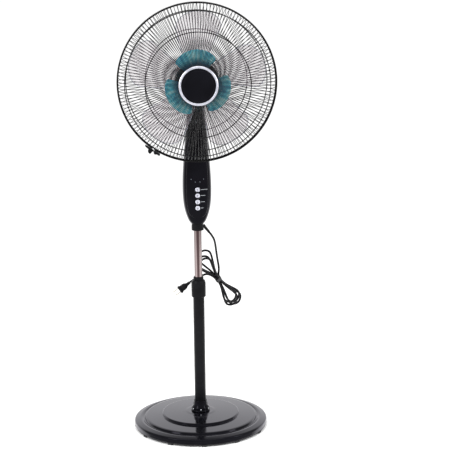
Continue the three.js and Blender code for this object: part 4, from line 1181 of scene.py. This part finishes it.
def build_main_blade():
    """Five wide clear blades on a clear cup."""
    front, rear = -116, -66
    work = bmesh.new()
    cup = soften([(4.3, front), (53, front), (58, front + 5), (58, rear), (55.6, rear), (55.6, front + 6),
                  (52, front + 3), (9, front + 3), (9, front + 24), (4.3, front + 24)], 1.2)
    add_skin(work, turned_rings([p * MM for p in cup], 128, "Y", (0, 0, FAN_Z)), around=True)
    middle_y = (front + rear) / 2 - 2
    turns = [2 * math.pi * k / 5 for k in range(5)]
    for turn in turns:
        add_skin(work, blade_rings(MAIN_SECTIONS, middle_y, 2.0, 0.0, 44, turn), capped=True)
    shown("clear_blades", finish_mesh("clear_blades", work, 50), "rotor", ("main_blade",), CLEAR)
    # Painted highlight: pale lines round each blade's outline stand in for the light its edge gathers.
    edges = [blade_edges(MAIN_SECTIONS, middle_y, 44, turn) for turn in turns]
    shown("clear_blade_edge_highlights", wire_curve("clear_blade_edge_highlights", edges, 1.0 * MM), "rotor", (),
          CLEAR_EDGE_HIGHLIGHT)


def build_front_blade():
    """Three small teal blades with fine radial ribs, on their own hub."""
    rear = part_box("hub_cap")[0][1] / MM - 0.3
    front = rear - 26
    work = bmesh.new()
    hub = soften([(4.3, front), (17, front), (20, front + 4), (20, rear), (4.3, rear)], 1.5)
    add_skin(work, turned_rings([p * MM for p in hub], 96, "Y", (0, 0, FAN_Z)), around=True)
    for k in range(3):
        turn = math.radians(120 * k - 4)
        add_skin(work, blade_rings(TEAL_SECTIONS, (front + rear) / 2, 2.0, 0.3, 16, turn), capped=True)
    shown("teal_blades", finish_mesh("teal_blades", work, 50), "rotor", ("front_blade",), TEAL)


def build_rotor():
    build_main_blade()
    build_front_blade()
    front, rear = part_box("hub_cap")[0][1] / MM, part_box("hub_cap")[1][1] / MM
    cap = turned("hub_cover", [(4.3, front), (50, front), (55, front + 0.8), (59, rear), (4.3, rear)], "Y",
                 (0, 0, FAN_Z), 128, 1.0)
    shown("hub_cover", cap, "rotor", ("hub_cap",), GLOSS)
    front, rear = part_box("spinner_nut")[0][1] / MM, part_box("spinner_nut")[1][1] / MM
    rings = []
    profile = soften([(0, front), (8, front + 0.5), (13, front + 4), (14, front + 7), (14, rear), (4.3, rear),
                      (4.3, front + 4), (0, front + 4)], 1.2, closed=False)
    for i in range(120):
        angle = 2 * math.pi * i / 120
        wave = 1.0 * max(0.0, math.cos(6 * angle)) ** 2
        rings.append([Vector(((r - (wave if r > 10 else 0)) * MM * math.cos(angle), y * MM,
                              FAN_Z + (r - (wave if r > 10 else 0)) * MM * math.sin(angle))) for r, y in profile])
    shown("spinner_cap", skin("spinner_cap", rings, ring_closed=False, around=True), "rotor",
          ("spinner_nut",), GLOSS)


build_yoke()
build_housing()
build_guards()
build_clip()
build_rotor()


# ---------------------------------------------------------------- floor and light
def build_floor():
    half = 30
    work = bmesh.new()
    corners = [(-half, -half, 0), (half, -half, 0), (half, half, 0), (-half, half, 0)]
    work.faces.new([work.verts.new(c) for c in corners])
    mesh = bpy.data.meshes.new("floor")
    work.to_mesh(mesh)
    work.free()
    material, tree, shader, place = surface("pale_floor", "FAFAFA", 0.9)
    mesh.materials.append(material)
    floor = bpy.data.objects.new("floor", mesh)
    bpy.context.scene.collection.objects.link(floor)


def softbox(name, place, target, size, power):
    data = bpy.data.lights.new(name, "AREA")
    data.shape = "RECTANGLE"
    data.size, data.size_y = size
    data.energy = power
    lamp = bpy.data.objects.new(name, data)
    lamp.location = place
    lamp.rotation_euler = (Vector(target) - Vector(place)).to_track_quat("-Z", "Y").to_euler()
    bpy.context.scene.collection.objects.link(lamp)


def build_light():
    world = bpy.data.worlds.new("studio")
    bpy.context.scene.world = world
    world.use_nodes = True
    tree = world.node_tree
    tree.nodes.clear()
    back = add(tree, "ShaderNodeBackground", {"Color": (1, 1, 1, 1), "Strength": 1.1})
    add(tree, "ShaderNodeOutputWorld", links={"Surface": back.outputs[0]})
    middle_up = (0, 0, 0.7)
    softbox("left_softbox", (-2.2, -1.6, 1.8), middle_up, (0.9, 1.8), 45)
    softbox("right_softbox", (2.4, -1.2, 1.5), middle_up, (0.7, 1.8), 30)
    softbox("top_softbox", (0, -0.4, 3.2), (0, 0, 0.6), (2.2, 2.2), 40)


build_floor()
build_light()
bpy.context.scene.view_settings.view_transform = "Standard"
